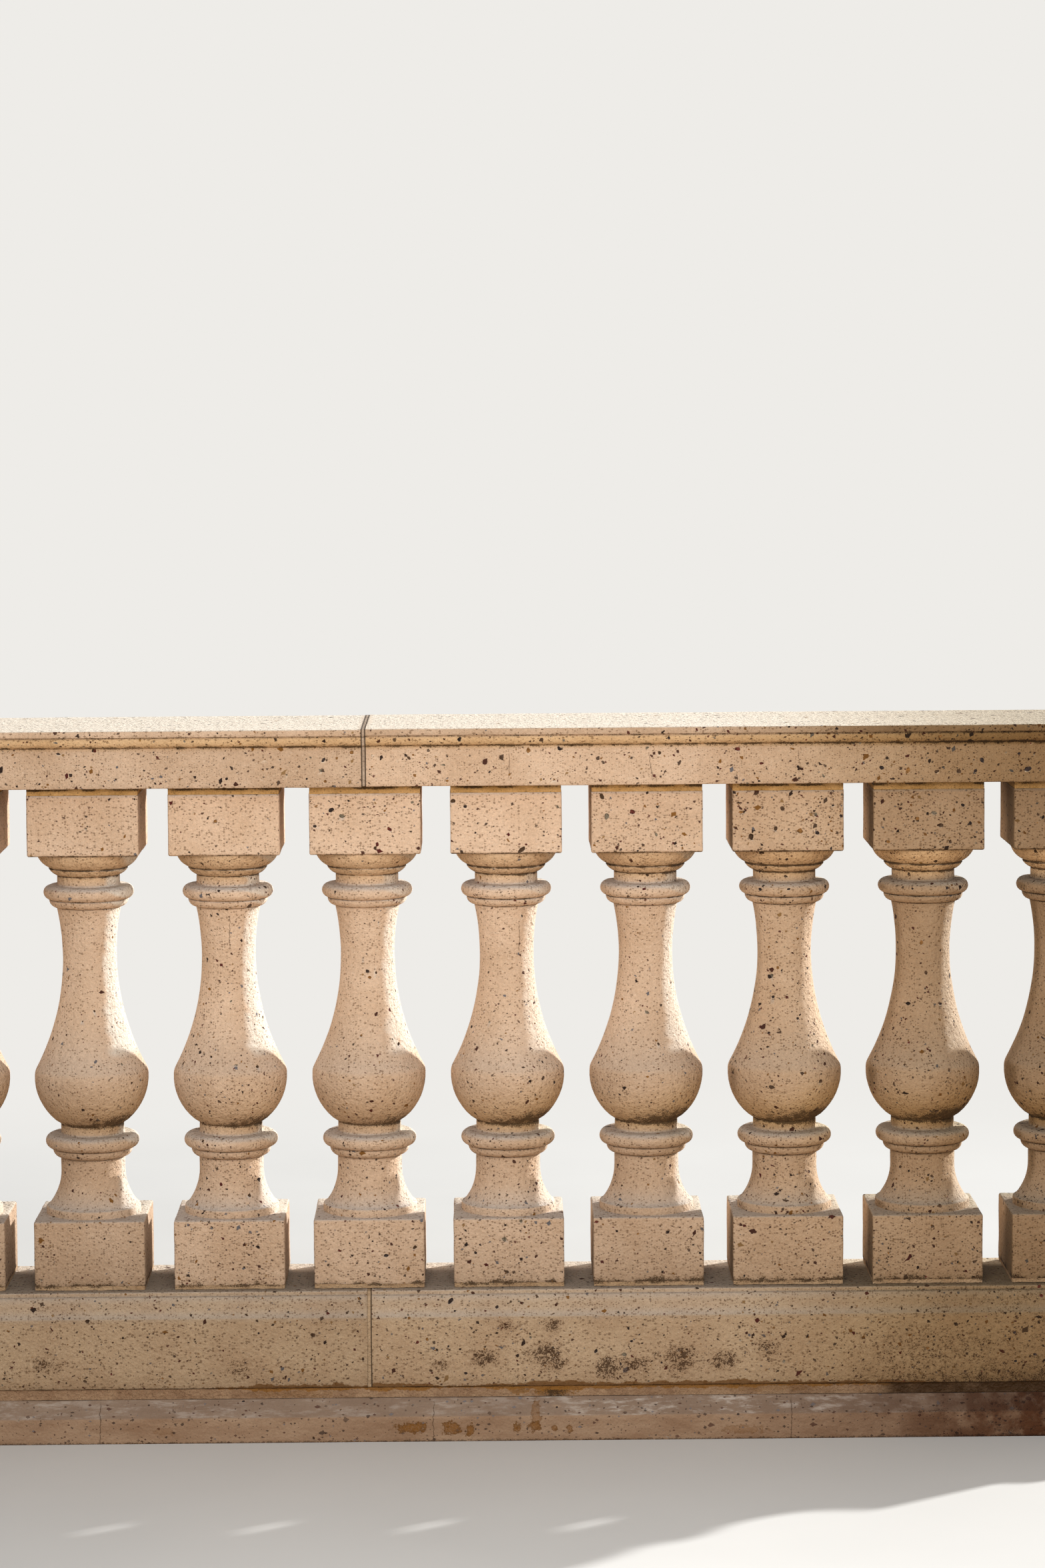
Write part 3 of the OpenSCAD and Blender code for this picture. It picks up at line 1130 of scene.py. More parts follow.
LININGS = (
    ChipLining("chip_umber", (96, 72, 52), 0.36),
    ChipLining("chip_charcoal", (62, 50, 46), 0.24),
    ChipLining("chip_slate", (146, 134, 114), 0.16),
    ChipLining("chip_ochre", (164, 118, 66), 0.15),
    ChipLining("chip_rust", (116, 56, 46), 0.09),
)
STONE_CRACKS = (
    Crack(245, -52, 800, 26, 10, 0.6),
    Crack(-220, -50, 812, 30, 12, 0.6),
    Crack(278, -60, 410, 24, 9, 0.7, 0.15),
    Crack(230, -127, 1085, 22, 7, 0.6),
    Crack(455, -127, 1083, 25, 9, 0.6, -0.1),
    Crack(690, -127, 1088, 20, 8, 0.5),
)
BED_STAINS = (
    Patch(238, 77, 16, 7, 0.7), Patch(294, 76, 34, 8, 0.8), Patch(-120, 74, 60, 6, 0.3),
    Patch(640, 78, 80, 6, 0.35), Patch(-700, 75, 50, 9, 0.6), Patch(-1100, 75, 70, 9, 0.7),
)
BALUSTER_STONE = CastStone(cracks=STONE_CRACKS)
# the rail's and the base's painted sunlight is a warmer pale
RAIL_STONE = CastStone("cast_stone_rail", washed=(231, 218, 200), cracks=STONE_CRACKS)
BASE_STONE = CastStone("cast_stone_base", (226, 198, 165), (211, 180, 147), (231, 218, 200), STONE_CRACKS, 84)
KERB_FINISH = KerbRender(
    "kerb_stone_stained",
    (
        Patch(66, 23, 27, 9, 0.95), Patch(131, 22, 15, 12, 0.9), Patch(160, 18, 7, 10, 0.95),
        Patch(235, 21, 7, 9, 0.9), Patch(266, 38, 8, 26, 0.55), Patch(264, 23, 10, 9, 0.85),
        Patch(296, 20, 5, 5, 0.8), Patch(320, 20, 5, 7, 0.8), Patch(600, 16, 40, 7, 0.35),
        Patch(-330, 20, 18, 7, 0.25), Patch(-980, 22, 26, 9, 0.7), Patch(-1200, 20, 12, 10, 0.7),
        Patch(1260, 21, 22, 9, 0.6),
    ),
    tuple(
        Crack(x, -140, 26, 40, sway, 0.9, through=True)
        for x, sway in ((-433, 12), (102, 14), (676, 12), (-1010, 14), (1230, 12))
    ),
)
POINTING = Mortar("pointing_mortar_sandy", (226, 191, 152), (202, 165, 126), (74, 54, 34), 0.42)
DIRTY_POINTING = Mortar("pointing_mortar_dirty", (224, 180, 120), (200, 156, 94), (44, 30, 14), 0.44)
PALE_POINTING = Mortar("pointing_mortar_pale", (226, 196, 162), (210, 180, 146), (104, 80, 56), 0.20)
RAIL_POINTING = Mortar("pointing_mortar_rail", (198, 176, 154), (176, 152, 130), (84, 66, 50), 0.24)
BED_MORTAR = Mortar(
    "stained_mortar_damp", (168, 137, 107), (144, 113, 86), (58, 40, 22), 0.24, BED_STAINS, seep_level=84)


@functools.cache
def material_of(finish: Finish) -> bpy.types.Material:
    """Gives the material of a finish, built the first time."""
    return finish.build()


def clothe(piece: bpy.types.Object, finish: Finish) -> None:
    """Gives a piece one finish all over."""
    piece.data.materials.clear()
    piece.data.materials.append(material_of(finish))


# Chipped surface


@dataclass(frozen=True)
class Chip:
    """A chipped-out hole: its place and direction, its radius and the number of its lining."""

    place: tuple[float, float, float]
    facing: tuple[float, float, float]
    radius: float
    mineral: int


def marked(marks: Sequence[tuple[float, float, float, float, int]]) -> list[Chip]:
    """Turns rows of x, y, z, radius, in millimetres, and lining into chips that face the front."""
    return [Chip((x * MM, y * MM, z * MM), FRONT, radius * MM, lining) for x, y, z, radius, lining in marks]


def apart(chips: list[Chip]) -> list[Chip]:
    """Leaves out chips that would touch one before them.

    Args:
        chips: The chips, with the known ones first.

    Returns:
        The chips that are left.
    """
    kept: list[Chip] = []
    for chip in chips:
        if all(math.dist(chip.place, other.place) > 1.9 * (chip.radius + other.radius) for other in kept):
            kept.append(chip)
    return kept


@functools.cache
def lumps() -> list[tuple[np.ndarray, np.ndarray]]:
    """Models six angular lumps of about unit radius and gives their points and faces.

    Returns:
        Points and faces of each lump.
    """
    shapes = []
    for seed in range(6):
        leave()
        bpy.ops.mesh.primitive_ico_sphere_add(subdivisions=1, radius=1)
        lump = bpy.context.object
        with editing(lump):
            bpy.ops.transform.vertex_random(offset=0.34, seed=seed, normal=0.2)
            bpy.ops.transform.resize(value=(1.25, 0.85, 0.8))
        faces = np.array([list(face.vertices) for face in lump.data.polygons])
        shapes.append((places(lump)[0], faces))
        discard(lump)
    return shapes


def chisel(piece: bpy.types.Object, chips: Sequence[Chip], seed: int) -> None:
    """Cuts small angular holes into finished stone, as where aggregate came out of the casting.

    Args:
        piece: The piece, whose first material is its own finish.
        chips: The holes to cut, all at once.
        seed: Settles how each lump is turned and stretched.
    """
    random = np.random.default_rng(seed)
    points, faces, minerals, count = [], [], [], 0
    for chip in chips:
        shape, sides = lumps()[int(random.integers(len(lumps())))]
        angle = float(random.uniform(0, math.tau))
        turn = np.array(Matrix.Rotation(angle, 3, Vector(random.normal(size=3)).normalized()))
        body = (shape * chip.radius * random.uniform(0.8, 1.2, 3)) @ turn.T
        out = np.array(chip.facing)
        body = body - np.outer(body @ out, out) * 0.3
        rise = chip.radius * float(random.uniform(-0.05, 0.30))
        points.append(body + np.array(chip.place) + out * rise)
        faces.append(sides + count)
        minerals += [chip.mineral] * len(sides)
        count += len(shape)
    mesh = bpy.data.meshes.new("chip_cutter")
    mesh.from_pydata(np.vstack(points).tolist(), [], np.vstack(faces).tolist())
    for lining in LININGS:
        mesh.materials.append(material_of(lining))
    mesh.polygons.foreach_set("material_index", minerals)
    cutter = bpy.data.objects.new("chip_cutter", mesh)
    bpy.context.scene.collection.objects.link(cutter)
    outwards(cutter, merge=1e-7)
    before = len(piece.data.polygons)
    apply(
        piece, "BOOLEAN", operation="DIFFERENCE", object=cutter, solver="MANIFOLD",
        material_mode="TRANSFER")
    if len(piece.data.polygons) <= before * 0.8:
        raise RuntimeError(f"{piece.name}: the chips weren't cut")
    discard(cutter)


def scatter(piece: bpy.types.Object, per_square_metre: float, radii: tuple[float, float], seed: int,
            weight: Rule) -> list[Chip]:
    """Picks places for chips on a piece's faces, none of them touching another.

    Args:
        piece: The piece to scatter over.
        per_square_metre: Chips per square metre where the weight is 1.
        radii: Smallest and largest radius, in millimetres; small ones are commoner.
        seed: Settles the places.
        weight: Gets face middles and normals, one row each, and gives 0 to 1 or more.

    Returns:
        The chips.
    """
    random = np.random.default_rng(seed)
    piece.data.calc_loop_triangles()
    corners, _ = places(piece)
    index = np.array([t.vertices[:] for t in piece.data.loop_triangles])
    a, b, c = corners[index[:, 0]], corners[index[:, 1]], corners[index[:, 2]]
    cross = np.cross(b - a, c - a)
    area = np.linalg.norm(cross, axis=1) / 2
    normal = cross / np.maximum(area[:, None] * 2, 1e-12)
    share = area * np.maximum(weight((a + b + c) / 3, normal), 0)
    count = int(random.poisson(share.sum() * per_square_metre))
    if not count:
        return []
    chosen = random.choice(len(area), size=count, p=share / share.sum())
    u, v = random.random(count), random.random(count)
    flip = u + v > 1
    u[flip], v[flip] = 1 - u[flip], 1 - v[flip]
    place = a[chosen] + u[:, None] * (b - a)[chosen] + v[:, None] * (c - a)[chosen]
    low, high = (radius * MM for radius in radii)
    size = low * (high / low) ** (random.random(count) ** 2.2)
    kept: list[int] = []
    for i in np.argsort(-size):
        gap = np.linalg.norm(place[kept] - place[i], axis=1)
        if not (gap < 1.9 * (size[kept] + size[i])).any():
            kept.append(int(i))
    minerals = random.choice(len(LININGS), size=count, p=[lining.share for lining in LININGS])
    return [Chip(tuple(place[i]), tuple(normal[chosen[i]]), float(size[i]), int(minerals[i])) for i in kept]


# What the pieces share


class Slot(Enum):
    """The record's material slots."""

    STONE = "cast_stone"
    KERB = "kerb_stone"
    POINTING = "pointing_mortar"
    STAINED = "stained_mortar"


@dataclass(frozen=True)
class Sizes:
    """Heights and lengths of the run."""

    pitch: float
    count: int
    base_z: float
    base_top: float
    baluster_z: float
    baluster_top: float
    rail_z: float
    half_run: float
    half_joint: float

    @classmethod
    def from_frame(cls) -> "Sizes":
        """Reads them off the CAD nodes' boxes, to the nearest micrometre.

        Returns:
            The sizes.
        """

        def edge(node: str, corner: int, axis: int) -> float:
            """One coordinate of a node's lowest (0) or highest (1) corner."""
            return round(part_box(node)[corner][axis], 6)

        return cls(
            pitch=round(edge("baluster_02", 0, 0) - edge("baluster_01", 0, 0), 6),
            count=sum(name.startswith("baluster_") and name[-1].isdigit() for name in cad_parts),
            base_z=edge("base_left", 0, 2),
            base_top=edge("base_left", 1, 2),
            baluster_z=edge("baluster_01", 0, 2),
            baluster_top=edge("baluster_01", 1, 2),
            rail_z=edge("rail_right", 0, 2),
            half_run=edge("plinth_kerb", 1, 0),
            half_joint=edge("base_right", 0, 0),
        )

    def baluster_x(self, number: int) -> float:
        """Place of a baluster along the run, numbered from 1 at the left."""
        return (number - (self.count + 1) / 2) * self.pitch


SIZES = Sizes.from_frame()


def painted_shade_of(where: np.ndarray, extra: float = 0.0, low_share: float = 1.0) -> np.ndarray:
    """How much painted shade each place gets: more to the right and lower down.

    Args:
        where: Places, one row each.
        extra: Added everywhere.
        low_share: How much of the darkening lower down applies.

    Returns:
        The shade of each place, 0 or more.
    """
    x, z = where[:, 0], where[:, 2]
    right = ease(x, 0.35, 1.15)
    low = ease(z, 0.70, 0.55) * 0.24 + ease(z, 0.38, 0.20) * 0.30
    return right * (0.27 + 0.20 * ease(z, 0.5, 0.8)) + low * low_share * (1 - 0.45 * right) + extra


def seep_amount(x: np.ndarray) -> np.ndarray:
    """How much ochre has seeped from the joint at the base's foot.

    Args:
        x: Places along the run, in millimetres.

    Returns:
        The amount at each place, 0 to 1.
    """
    spells = (
        (-190, -30, 0.36), (0, 96, 0.52), (188, 262, 0.34), (258, 336, 0.62), (326, 620, 0.40),
        (600, 880, 0.22), (-760, -620, 0.45), (-1240, -1020, 0.5), (1040, 1120, 0.3),
    )
    amount = 0.34 * ease(x, -300, -220) * ease(x, 1000, 880)
    for start, end, much in spells:
        amount += much * ease(x, start - 14, start + 14) * ease(x, end + 14, end - 14)
    return amount * (0.75 + 0.5 * wander(x, 22, 5))


def seat(piece: bpy.types.Object, node: str, smooth: float = 33) -> None:
    """Shades a finished piece smooth and seats it on the CAD frame.

    Args:
        piece: The piece, with its mesh in place.
        node: The CAD node that it stands for.
        smooth: Edges sharper than this, in degrees, stay sharp.
    """
    take(piece)
    bpy.ops.object.shade_smooth_by_angle(angle=math.radians(smooth))
    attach(piece, "root")
    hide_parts(node)
    log.info("%s: %d faces, stands for %s", piece.name, len(piece.data.polygons), node)


# Balusters


@dataclass(frozen=True)
class Character:
    """What sets one baluster apart.

    Its upper block, vase and lower block are more or less pitted. Shade is its painted shade, low
    says how much of that lower down, dirt gathers, and the last field is its sunlit strip's painted
    highlight.
    """

    upper: float
    vase: float
    lower: float
    shade: float
    dirt: float
    low: float = 1.0
    sun_highlight: float = 0.6


# pitting of upper block, vase and lower block, painted shade, dirt, share of painted shade low down, painted
# highlight of the sunlit strip
CHARACTERS = (
    Character(0.45, 0.40, 0.45, 0.20, 0.50),
    Character(0.60, 0.45, 0.60, 0.25, 0.45),
    Character(0.40, 0.35, 0.50, 0.18, 0.50),
    Character(0.50, 0.40, 0.50, 0.20, 0.45),
    Character(0.40, 0.25, 0.35, 0.16, 0.42, sun_highlight=0.85),
    Character(0.50, 0.60, 0.60, 0.00, 0.32, 0.75, 0.75),
    Character(0.85, 0.45, 0.60, 0.04, 0.30, 0.65),
    Character(0.45, 0.50, 0.75, 0.00, 0.60, 0.95, 0.45),
    Character(0.90, 0.50, 0.50, 0.12, 0.65, 1.0),
    Character(1.40, 0.75, 0.45, 0.22, 0.74, 0.80, 0.1),
    Character(1.60, 0.70, 0.75, 0.47, 0.76, 0.85, 0.3),
    Character(0.90, 0.60, 0.60, 0.60, 0.80, sun_highlight=0.35),
    Character(0.70, 0.55, 0.60, 0.50, 0.70, sun_highlight=0.35),
)
# The larger stones that show on the balusters' fronts: x, z and radius in millimetres, and lining.
BLOCK_STONES = (
    # upper blocks
    (-87, 1027, 4, 2), (-54, 1014, 4.5, 1), (-37, 1004, 4.5, 2), (-80, 988, 4, 1), (39, 982, 4, 4),
    (16, 952, 4, 0), (32, 1012, 3, 3), (76, 1025, 3, 2), (140, 1027, 4.5, 0), (249, 947, 5.5, 0),
    (176, 976, 3, 1), (378, 1032, 4.5, 0), (427, 1007, 5.5, 4), (386, 1000, 4.5, 2), (465, 970, 4, 2),
    (475, 960, 4, 0), (366, 1036, 4, 3), (624, 1034, 4, 0), (666, 1010, 4.5, 0), (600, 1005, 3.5, 3),
    (693, 974, 5, 3), (616, 966, 5.5, 0), (722, 971, 4, 1), (760, 998, 3.5, 1), (882, 992, 5, 3),
    (918, 982, 5.5, 0), (908, 1002, 4, 2), (966, 984, 4, 1), (934, 956, 3.5, 0), (835, 956, 3.5, 3),
    (954, 1014, 3, 1), (1073, 999, 4.5, 0),
    # lower blocks
    (73, 305, 4, 0), (-48, 301, 3, 4), (27, 292, 3.5, 1), (218, 317, 5, 2), (155, 308, 4, 1),
    (171, 295, 4, 1), (221, 264, 3.5, 0), (367, 344, 4, 4), (433, 324, 2.5, 3),
)
VASE_STONES = (
    (-298, 600, 3, 0), (-267, 476, 3.5, 0), (-251, 615, 3, 0), (-210, 603, 3, 2), (-177, 598, 3, 0),
    (-219, 702, 2.5, 2), (-10, 646, 3, 3), (4, 738, 3.5, 3), (14, 745, 2.5, 0), (25, 364, 3, 1),
    (196, 665, 2.5, 2), (449, 580, 3, 3), (450, 679, 3, 2), (468, 629, 3, 0), (632, 878, 3, 1),
    (643, 623, 3, 0), (652, 735, 3.5, 2), (654, 701, 3, 1), (664, 387, 3, 0), (693, 667, 3, 1),
    (677, 879, 3, 1), (871, 628, 2.5, 4), (876, 878, 3, 1), (899, 712, 2.5, 1), (901, 738, 3, 0),
    (910, 407, 3, 0), (921, 362, 4.5, 0), (932, 878, 3.5, 1), (934, 586, 3, 0), (1078, 469, 2.5, 1),
)


@dataclass(frozen=True)
class Template:
    """The turner's template, in millimetres.

    Heights are counted up from a baluster's underside. A reach is a moulding's outermost radius.
    """

    foot: float = 105.0
    cove: float = 118.5
    low_ring: float = 197.5
    low_torus: float = 212.0
    low_neck: float = 235.5
    vase: float = 251.5
    belly: float = 328.07
    waist: float = 525.07
    up_ring: float = 605.57
    up_torus: float = 618.57
    up_neck: float = 641.07
    small_ovolo: float = 657.07
    large_ovolo: float = 669.57
    cap: float = 695.57
    top: float = 793.57
    belly_radius: float = 92.0
    hollow_radius: float = 385.0
    hollow_centre: float = 428.3
    rounding: float = 25.0
    cove_radius: float = 88.0
    cove_centre: float = 140.0
    core: float = 60.0
    low_end: float = 96.0
    top_end: float = 702.0
    disc_reach: float = 76.5
    stem: float = 52.0
    low_ring_radius: float = 12.5
    low_torus_radius: float = 11.75
    low_torus_reach: float = 76.0
    low_neck_radius: float = 51.0
    up_stem: float = 51.8
    up_ring_radius: float = 12.2
    up_torus_radius: float = 11.25
    up_torus_reach: float = 73.0
    up_neck_radius: float = 50.5
    small_ovolo_radius: float = 25.0
    small_ovolo_reach: float = 64.0
    large_ovolo_radius: float = 34.0
    large_ovolo_reach: float = 83.5

    def profile(self) -> Points:
        """Half section of the turned part, from inside the lower block to inside the upper one."""
        end = [(self.core + 10, self.top_end - 3), (self.core, self.top_end), (0, self.top_end)]
        return self.softened(self.pedestal() + self.shaft() + self.bowls() + end)

    def pedestal(self, fine: float = 3.0) -> Points:
        """Foot disc, cove, ring, torus and neck.

        Args:
            fine: Spacing of points on the small mouldings.

        Returns:
            Radii and heights of the points.
        """
        disc, stem, neck = self.disc_reach, self.stem, self.low_neck_radius
        lip, ring, torus = disc - 4, self.low_ring_radius, self.low_torus_radius
        line: Points = [(0, self.low_end), (self.core, self.low_end)]
        line += divided([(disc, self.low_end), (disc, self.cove - 3)], 5)
        line += arc((disc - 3, self.cove - 3), 3, 0, 90, 1.6)[1:] + [(lip, self.cove)]
        turn = math.degrees(math.acos((self.cove_centre - lip) / self.cove_radius))
        spring = self.cove + self.cove_radius * math.sin(math.radians(turn))
        line += arc((self.cove_centre, spring), self.cove_radius, 180 + turn, 180, 8)[1:]
        line += divided([(stem, spring), (stem, self.low_ring - 1.2)], 9)[1:]
        line += self.quirk(stem, self.low_ring)
        line += arc((stem, self.low_ring + ring), ring, -84, 0, fine)[1:]
        line += self.quirk(stem + ring - 0.1, self.low_torus)
        line += arc((self.low_torus_reach - torus, self.low_torus + torus), torus, -82, 90, fine)
        line += divided([(neck, self.low_neck), (neck, self.vase - 1.2)], 4)
        return line + self.quirk(neck, self.vase)

    def shaft(self) -> Points:
        """The belly's ball, the 25 mm rounding and the hollow curve up to the ring.

        Returns:
            Radii and heights of the points.
        """
        ball, hollow = (0.0, self.belly), (self.hollow_centre, self.waist)
        soft = self.soft_centre(ball, hollow)
        from_ball, to_hollow = self.direction(ball, soft), self.direction(soft, hollow)
        foot = -math.degrees(math.acos((self.stem + 0.2) / self.belly_radius))
        line = arc(ball, self.belly_radius, foot, from_ball, 11)[1:]
        line += arc(soft, self.rounding, from_ball, to_hollow, 4)[1:]
        end = 180 - math.degrees(math.asin((self.up_ring - 1.2 - self.waist) / self.hollow_radius))
        start = self.direction(hollow, soft) % 360
        line += arc(hollow, self.hollow_radius, start, end, 12)[1:]
        return line + self.quirk(self.up_stem, self.up_ring)

    def bowls(self, fine: float = 3.0) -> Points:
        """Ring, torus, neck and the two ovolos under the upper block.

        Args:
            fine: Spacing of points on the small mouldings.

        Returns:
            Radii and heights of the points.
        """
        stem, neck = self.up_stem, self.up_neck_radius
        ring, torus = self.up_ring_radius, self.up_torus_radius
        line = arc((stem, self.up_ring + ring), ring, -84, 0, fine)
        line += self.quirk(stem + ring - 0.6, self.up_torus)
        line += arc((self.up_torus_reach - torus, self.up_torus + torus), torus, -80, 90, fine)
        line += divided([(neck, self.up_neck), (neck, self.small_ovolo - 1.2)], 4)
        line += self.quirk(neck, self.small_ovolo)
        foot, top = (neck + 1, self.small_ovolo + 0.6), (self.small_ovolo_reach, self.large_ovolo - 1)
        line += self.ovolo(foot, top, self.small_ovolo_radius, fine)
        line += self.quirk(self.small_ovolo_reach - 1.2, self.large_ovolo)
        foot, top = (self.small_ovolo_reach - 0.8, self.large_ovolo + 0.6), (self.large_ovolo_reach, self.cap)
        return line + self.ovolo(foot, top, self.large_ovolo_radius, fine)

    @staticmethod
    def quirk(radius: float, height: float) -> Points:
        """Points of the fine groove that parts two mouldings, 1 mm deep."""
        return [(radius, height - 0.9), (radius - 1.0, height - 0.3), (radius - 1.0, height + 0.3)]

    @staticmethod
    def direction(start: Sequence[float], end: Sequence[float]) -> float:
        """Angle from one point to another, in degrees."""
        return math.degrees(math.atan2(end[1] - start[1], end[0] - start[0]))

    def soft_centre(self, ball: Sequence[float], hollow: Sequence[float]) -> tuple[float, float]:
        """Centre of the rounding between the belly's ball and the shaft's hollow curve.

        Args:
            ball: Centre of the belly's ball.
            hollow: Centre of the hollow curve.

        Returns:
            The rounding's centre.
        """
        first, second = self.belly_radius - self.rounding, self.hollow_radius + self.rounding
        gap = math.dist(ball, hollow)
        along = (first**2 - second**2 + gap**2) / (2 * gap)
        side = math.sqrt(first**2 - along**2)
        dx, dy = (hollow[0] - ball[0]) / gap, (hollow[1] - ball[1]) / gap
        return ball[0] + dx * along + dy * side, ball[1] + dy * along - dx * side

    @staticmethod
    def ovolo(foot: Sequence[float], top: Sequence[float], radius: float, spacing: float) -> Points:
        """Points of an ovolo that swells from its foot to its top.

        Args:
            foot: Its lowest point.
            top: Its highest point.
            radius: Radius of its arc.
            spacing: Longest step between points.

        Returns:
            The points.
        """
        (ax, ay), (bx, by) = foot, top
        gap = math.dist(foot, top)
        rise = math.sqrt(radius**2 - (gap / 2) ** 2)
        centre = ((ax + bx) / 2 - (by - ay) / gap * rise, (ay + by) / 2 + (bx - ax) / gap * rise)
        return arc(centre, radius, Template.direction(centre, foot), Template.direction(centre, top), spacing)

    @staticmethod
    def softened(line: Points) -> Points:
        """Rounds the template's corners a little, as casting and weather do.

        Args:
            line: The template's points.

        Returns:
            The softened points.
        """
        clean = [line[0]]
        for point in line[1:]:
            if math.dist(point, clean[-1]) > 0.15:
                clean.append(point)
        out = [clean[0]]
        for before, point, after in zip(clean, clean[1:], clean[2:]):
            short = min(math.dist(before, point), math.dist(point, after))
            pull = min(0.22, 0.45 / max(short, 0.5))
            out.append(tuple(p + pull * ((b + a) / 2 - p) for b, p, a in zip(before, point, after)))
        return out + [clean[-1]]


@dataclass(frozen=True)
class Balusters:
    """The thirteen turned vase balusters between square blocks."""

    template: Template = Template()
    block: float = 0.178
    arris: float = 0.003
    block_cuts: int = 19
    steps: int = 84
    seed: int = 41

    def build(self) -> None:
        """Copies, wears and dresses the thirteen balusters."""
        master = self.master()
        for number, character in enumerate(CHARACTERS, 1):
            piece = copied(master, f"cast_baluster_{number:02d}", SIZES.baluster_x(number))
            roughen(piece, 0.045, 1.3)
            clothe(piece, BALUSTER_STONE)
            chisel(piece, self.chips(piece, number, character), self.seed * 7 + number)
            self.dress(piece, number, character)
            seat(piece, f"baluster_{number:02d}")
        discard(master)

    def master(self) -> bpy.types.Object:
        """One clean baluster standing at the middle of the run, before wear.

        Returns:
            The baluster.
        """
        cut = self.template
        vase = self.turned()
        lower = self.square_block("lower_block", bed=0, free=cut.foot * MM)
        upper = self.square_block("upper_block", bed=cut.top * MM, free=cut.cap * MM)
        for block in (lower, upper):
            apply(vase, "BOOLEAN", operation="UNION", object=block, solver="MANIFOLD")
            discard(block)
        with editing(vase):
            bpy.ops.transform.translate(value=(0, 0, SIZES.baluster_z))
        log.info("master baluster: %d faces", len(vase.data.polygons))
        return vase

    def turned(self) -> bpy.types.Object:
        """Turns the profile round the baluster's axis.

        Returns:
            The turned part.
        """
        vase = chain("vase", [(r * MM, 0.0, z * MM) for r, z in self.template.profile()])
        with editing(vase):
            bpy.ops.mesh.spin(steps=self.steps, angle=math.tau, center=(0, 0, 0), axis=(0, 0, 1))
        outwards(vase, 2e-5)
        return vase

    def square_block(self, name: str, bed: float, free: float) -> bpy.types.Object:
        """Makes a square block with soft arrises.

        Args:
            name: Its name.
            bed: Height of its sharp bedding face.
            free: Height of the face opposite.

        Returns:
            The block.
        """
        block = slab(name, self.block, min(bed, free), max(bed, free))
        tol = 1e-5

        def faces(point: Vector) -> set[str]:
            """Names the faces, other than the bedding face, that a point lies on.

            Args:
                point: The point's place.

            Returns:
                The faces' names.
            """
            on = {"z"} if abs(point.z - free) < tol else set()
            for axis, place in (("x", point.x), ("y", point.y)):
                if abs(abs(place) - self.block / 2) < tol:
                    on.add(axis + ("+" if place > 0 else "-"))
            return on

        def arris(a: Vector, b: Vector) -> bool:
            """Whether an edge is part of a soft arris."""
            return len(faces(a) & faces(b)) >= 2 and not (abs(a.z - bed) < tol and abs(b.z - bed) < tol)

        with editing(block, "EDGE"):
            bpy.ops.mesh.subdivide(number_cuts=self.block_cuts)
            pick_edges(block, arris)
            bpy.ops.mesh.bevel(offset=self.arris, segments=3, profile=0.5, affect="EDGES")
        outwards(block, 2e-5)
        return block

    def height(self, where: np.ndarray) -> np.ndarray:
        """Height of each place above the balusters' undersides, in millimetres."""
        return (where[:, 2] - SIZES.baluster_z) * 1000

    def pitted(self, z: np.ndarray, character: Character, vase_share: float) -> np.ndarray:
        """How pitted a baluster is at each height, with its vase less so by a share."""
        above = np.where(z > self.template.cap, character.upper, character.vase * vase_share)
        return np.where(z < self.template.foot, character.lower, above)

    def chips(self, piece: bpy.types.Object, number: int, character: Character) -> list[Chip]:
        """Chooses one baluster's larger stones and pits, and the chips of its arrises.

        Args:
            piece: The piece.
            number: The baluster's number.
            character: What sets it apart.

        Returns:
            The chips.
        """
        x0, cut, half = SIZES.baluster_x(number), self.template, self.block / 2

        def pits(where: np.ndarray, facing: np.ndarray) -> np.ndarray:
            """Where the pits are, clear of the bedding faces."""
            z = self.height(where)
            return self.pitted(z, character, 0.8) * (z > 4) * (z < cut.top - 4)

        def arrises(where: np.ndarray, facing: np.ndarray) -> np.ndarray:
            """Where the blocks' upright corners and free rims are.

            Args:
                where: Places, one row each.
                facing: Normals, one row each; not used.

            Returns:
                The weight of each place.
            """
            z = self.height(where)
            wide, deep = np.abs(where[:, 0] - x0), np.abs(where[:, 1])
            far, near = np.maximum(wide, deep), np.minimum(wide, deep)
            corner = (near > half - 0.004) & (far > half - 0.004)
            rim = (far > half - 0.003) & ((np.abs(z - cut.foot) < 3) | (np.abs(z - cut.cap) < 3) | (z < 6))
            return (corner | rim).astype(float)

        chips = self.known(x0)
        chips += scatter(piece, 330, (1.5, 4.0), self.seed + number, pits)
        chips += scatter(piece, 2600, (1.0, 2.4), self.seed * 3 + number, arrises)
        return apart(chips)

    def known(self, x0: float) -> list[Chip]:
        """The largest stones and pits of one baluster, where they are.

        Args:
            x0: The baluster's place along the run.

        Returns:
            The chips, on the front faces of its blocks and round the front of its vase.
        """
        near = self.block / 2 - 0.002
        face = -self.block / 2 / MM
        mine = [row for row in BLOCK_STONES if abs(row[0] * MM - x0) < near]
        chips = marked([(x, face, z, radius, lining) for x, z, radius, lining in mine])
        heights, radii = zip(*sorted((z * MM + SIZES.baluster_z, r * MM) for r, z in self.template.profile()))
        for x, z, radius, lining in VASE_STONES:
            off = x * MM - x0
            reach, over, under = np.interp((z * MM, z * MM + MM, z * MM - MM), heights, radii)
            if abs(off) < reach:
                front = -math.sqrt(reach**2 - off**2)
                facing = Vector((off / reach, front / reach, (under - over) / (2 * MM))).normalized()
                chips.append(Chip((x * MM, front, z * MM), tuple(facing), radius * MM, lining))
        return chips

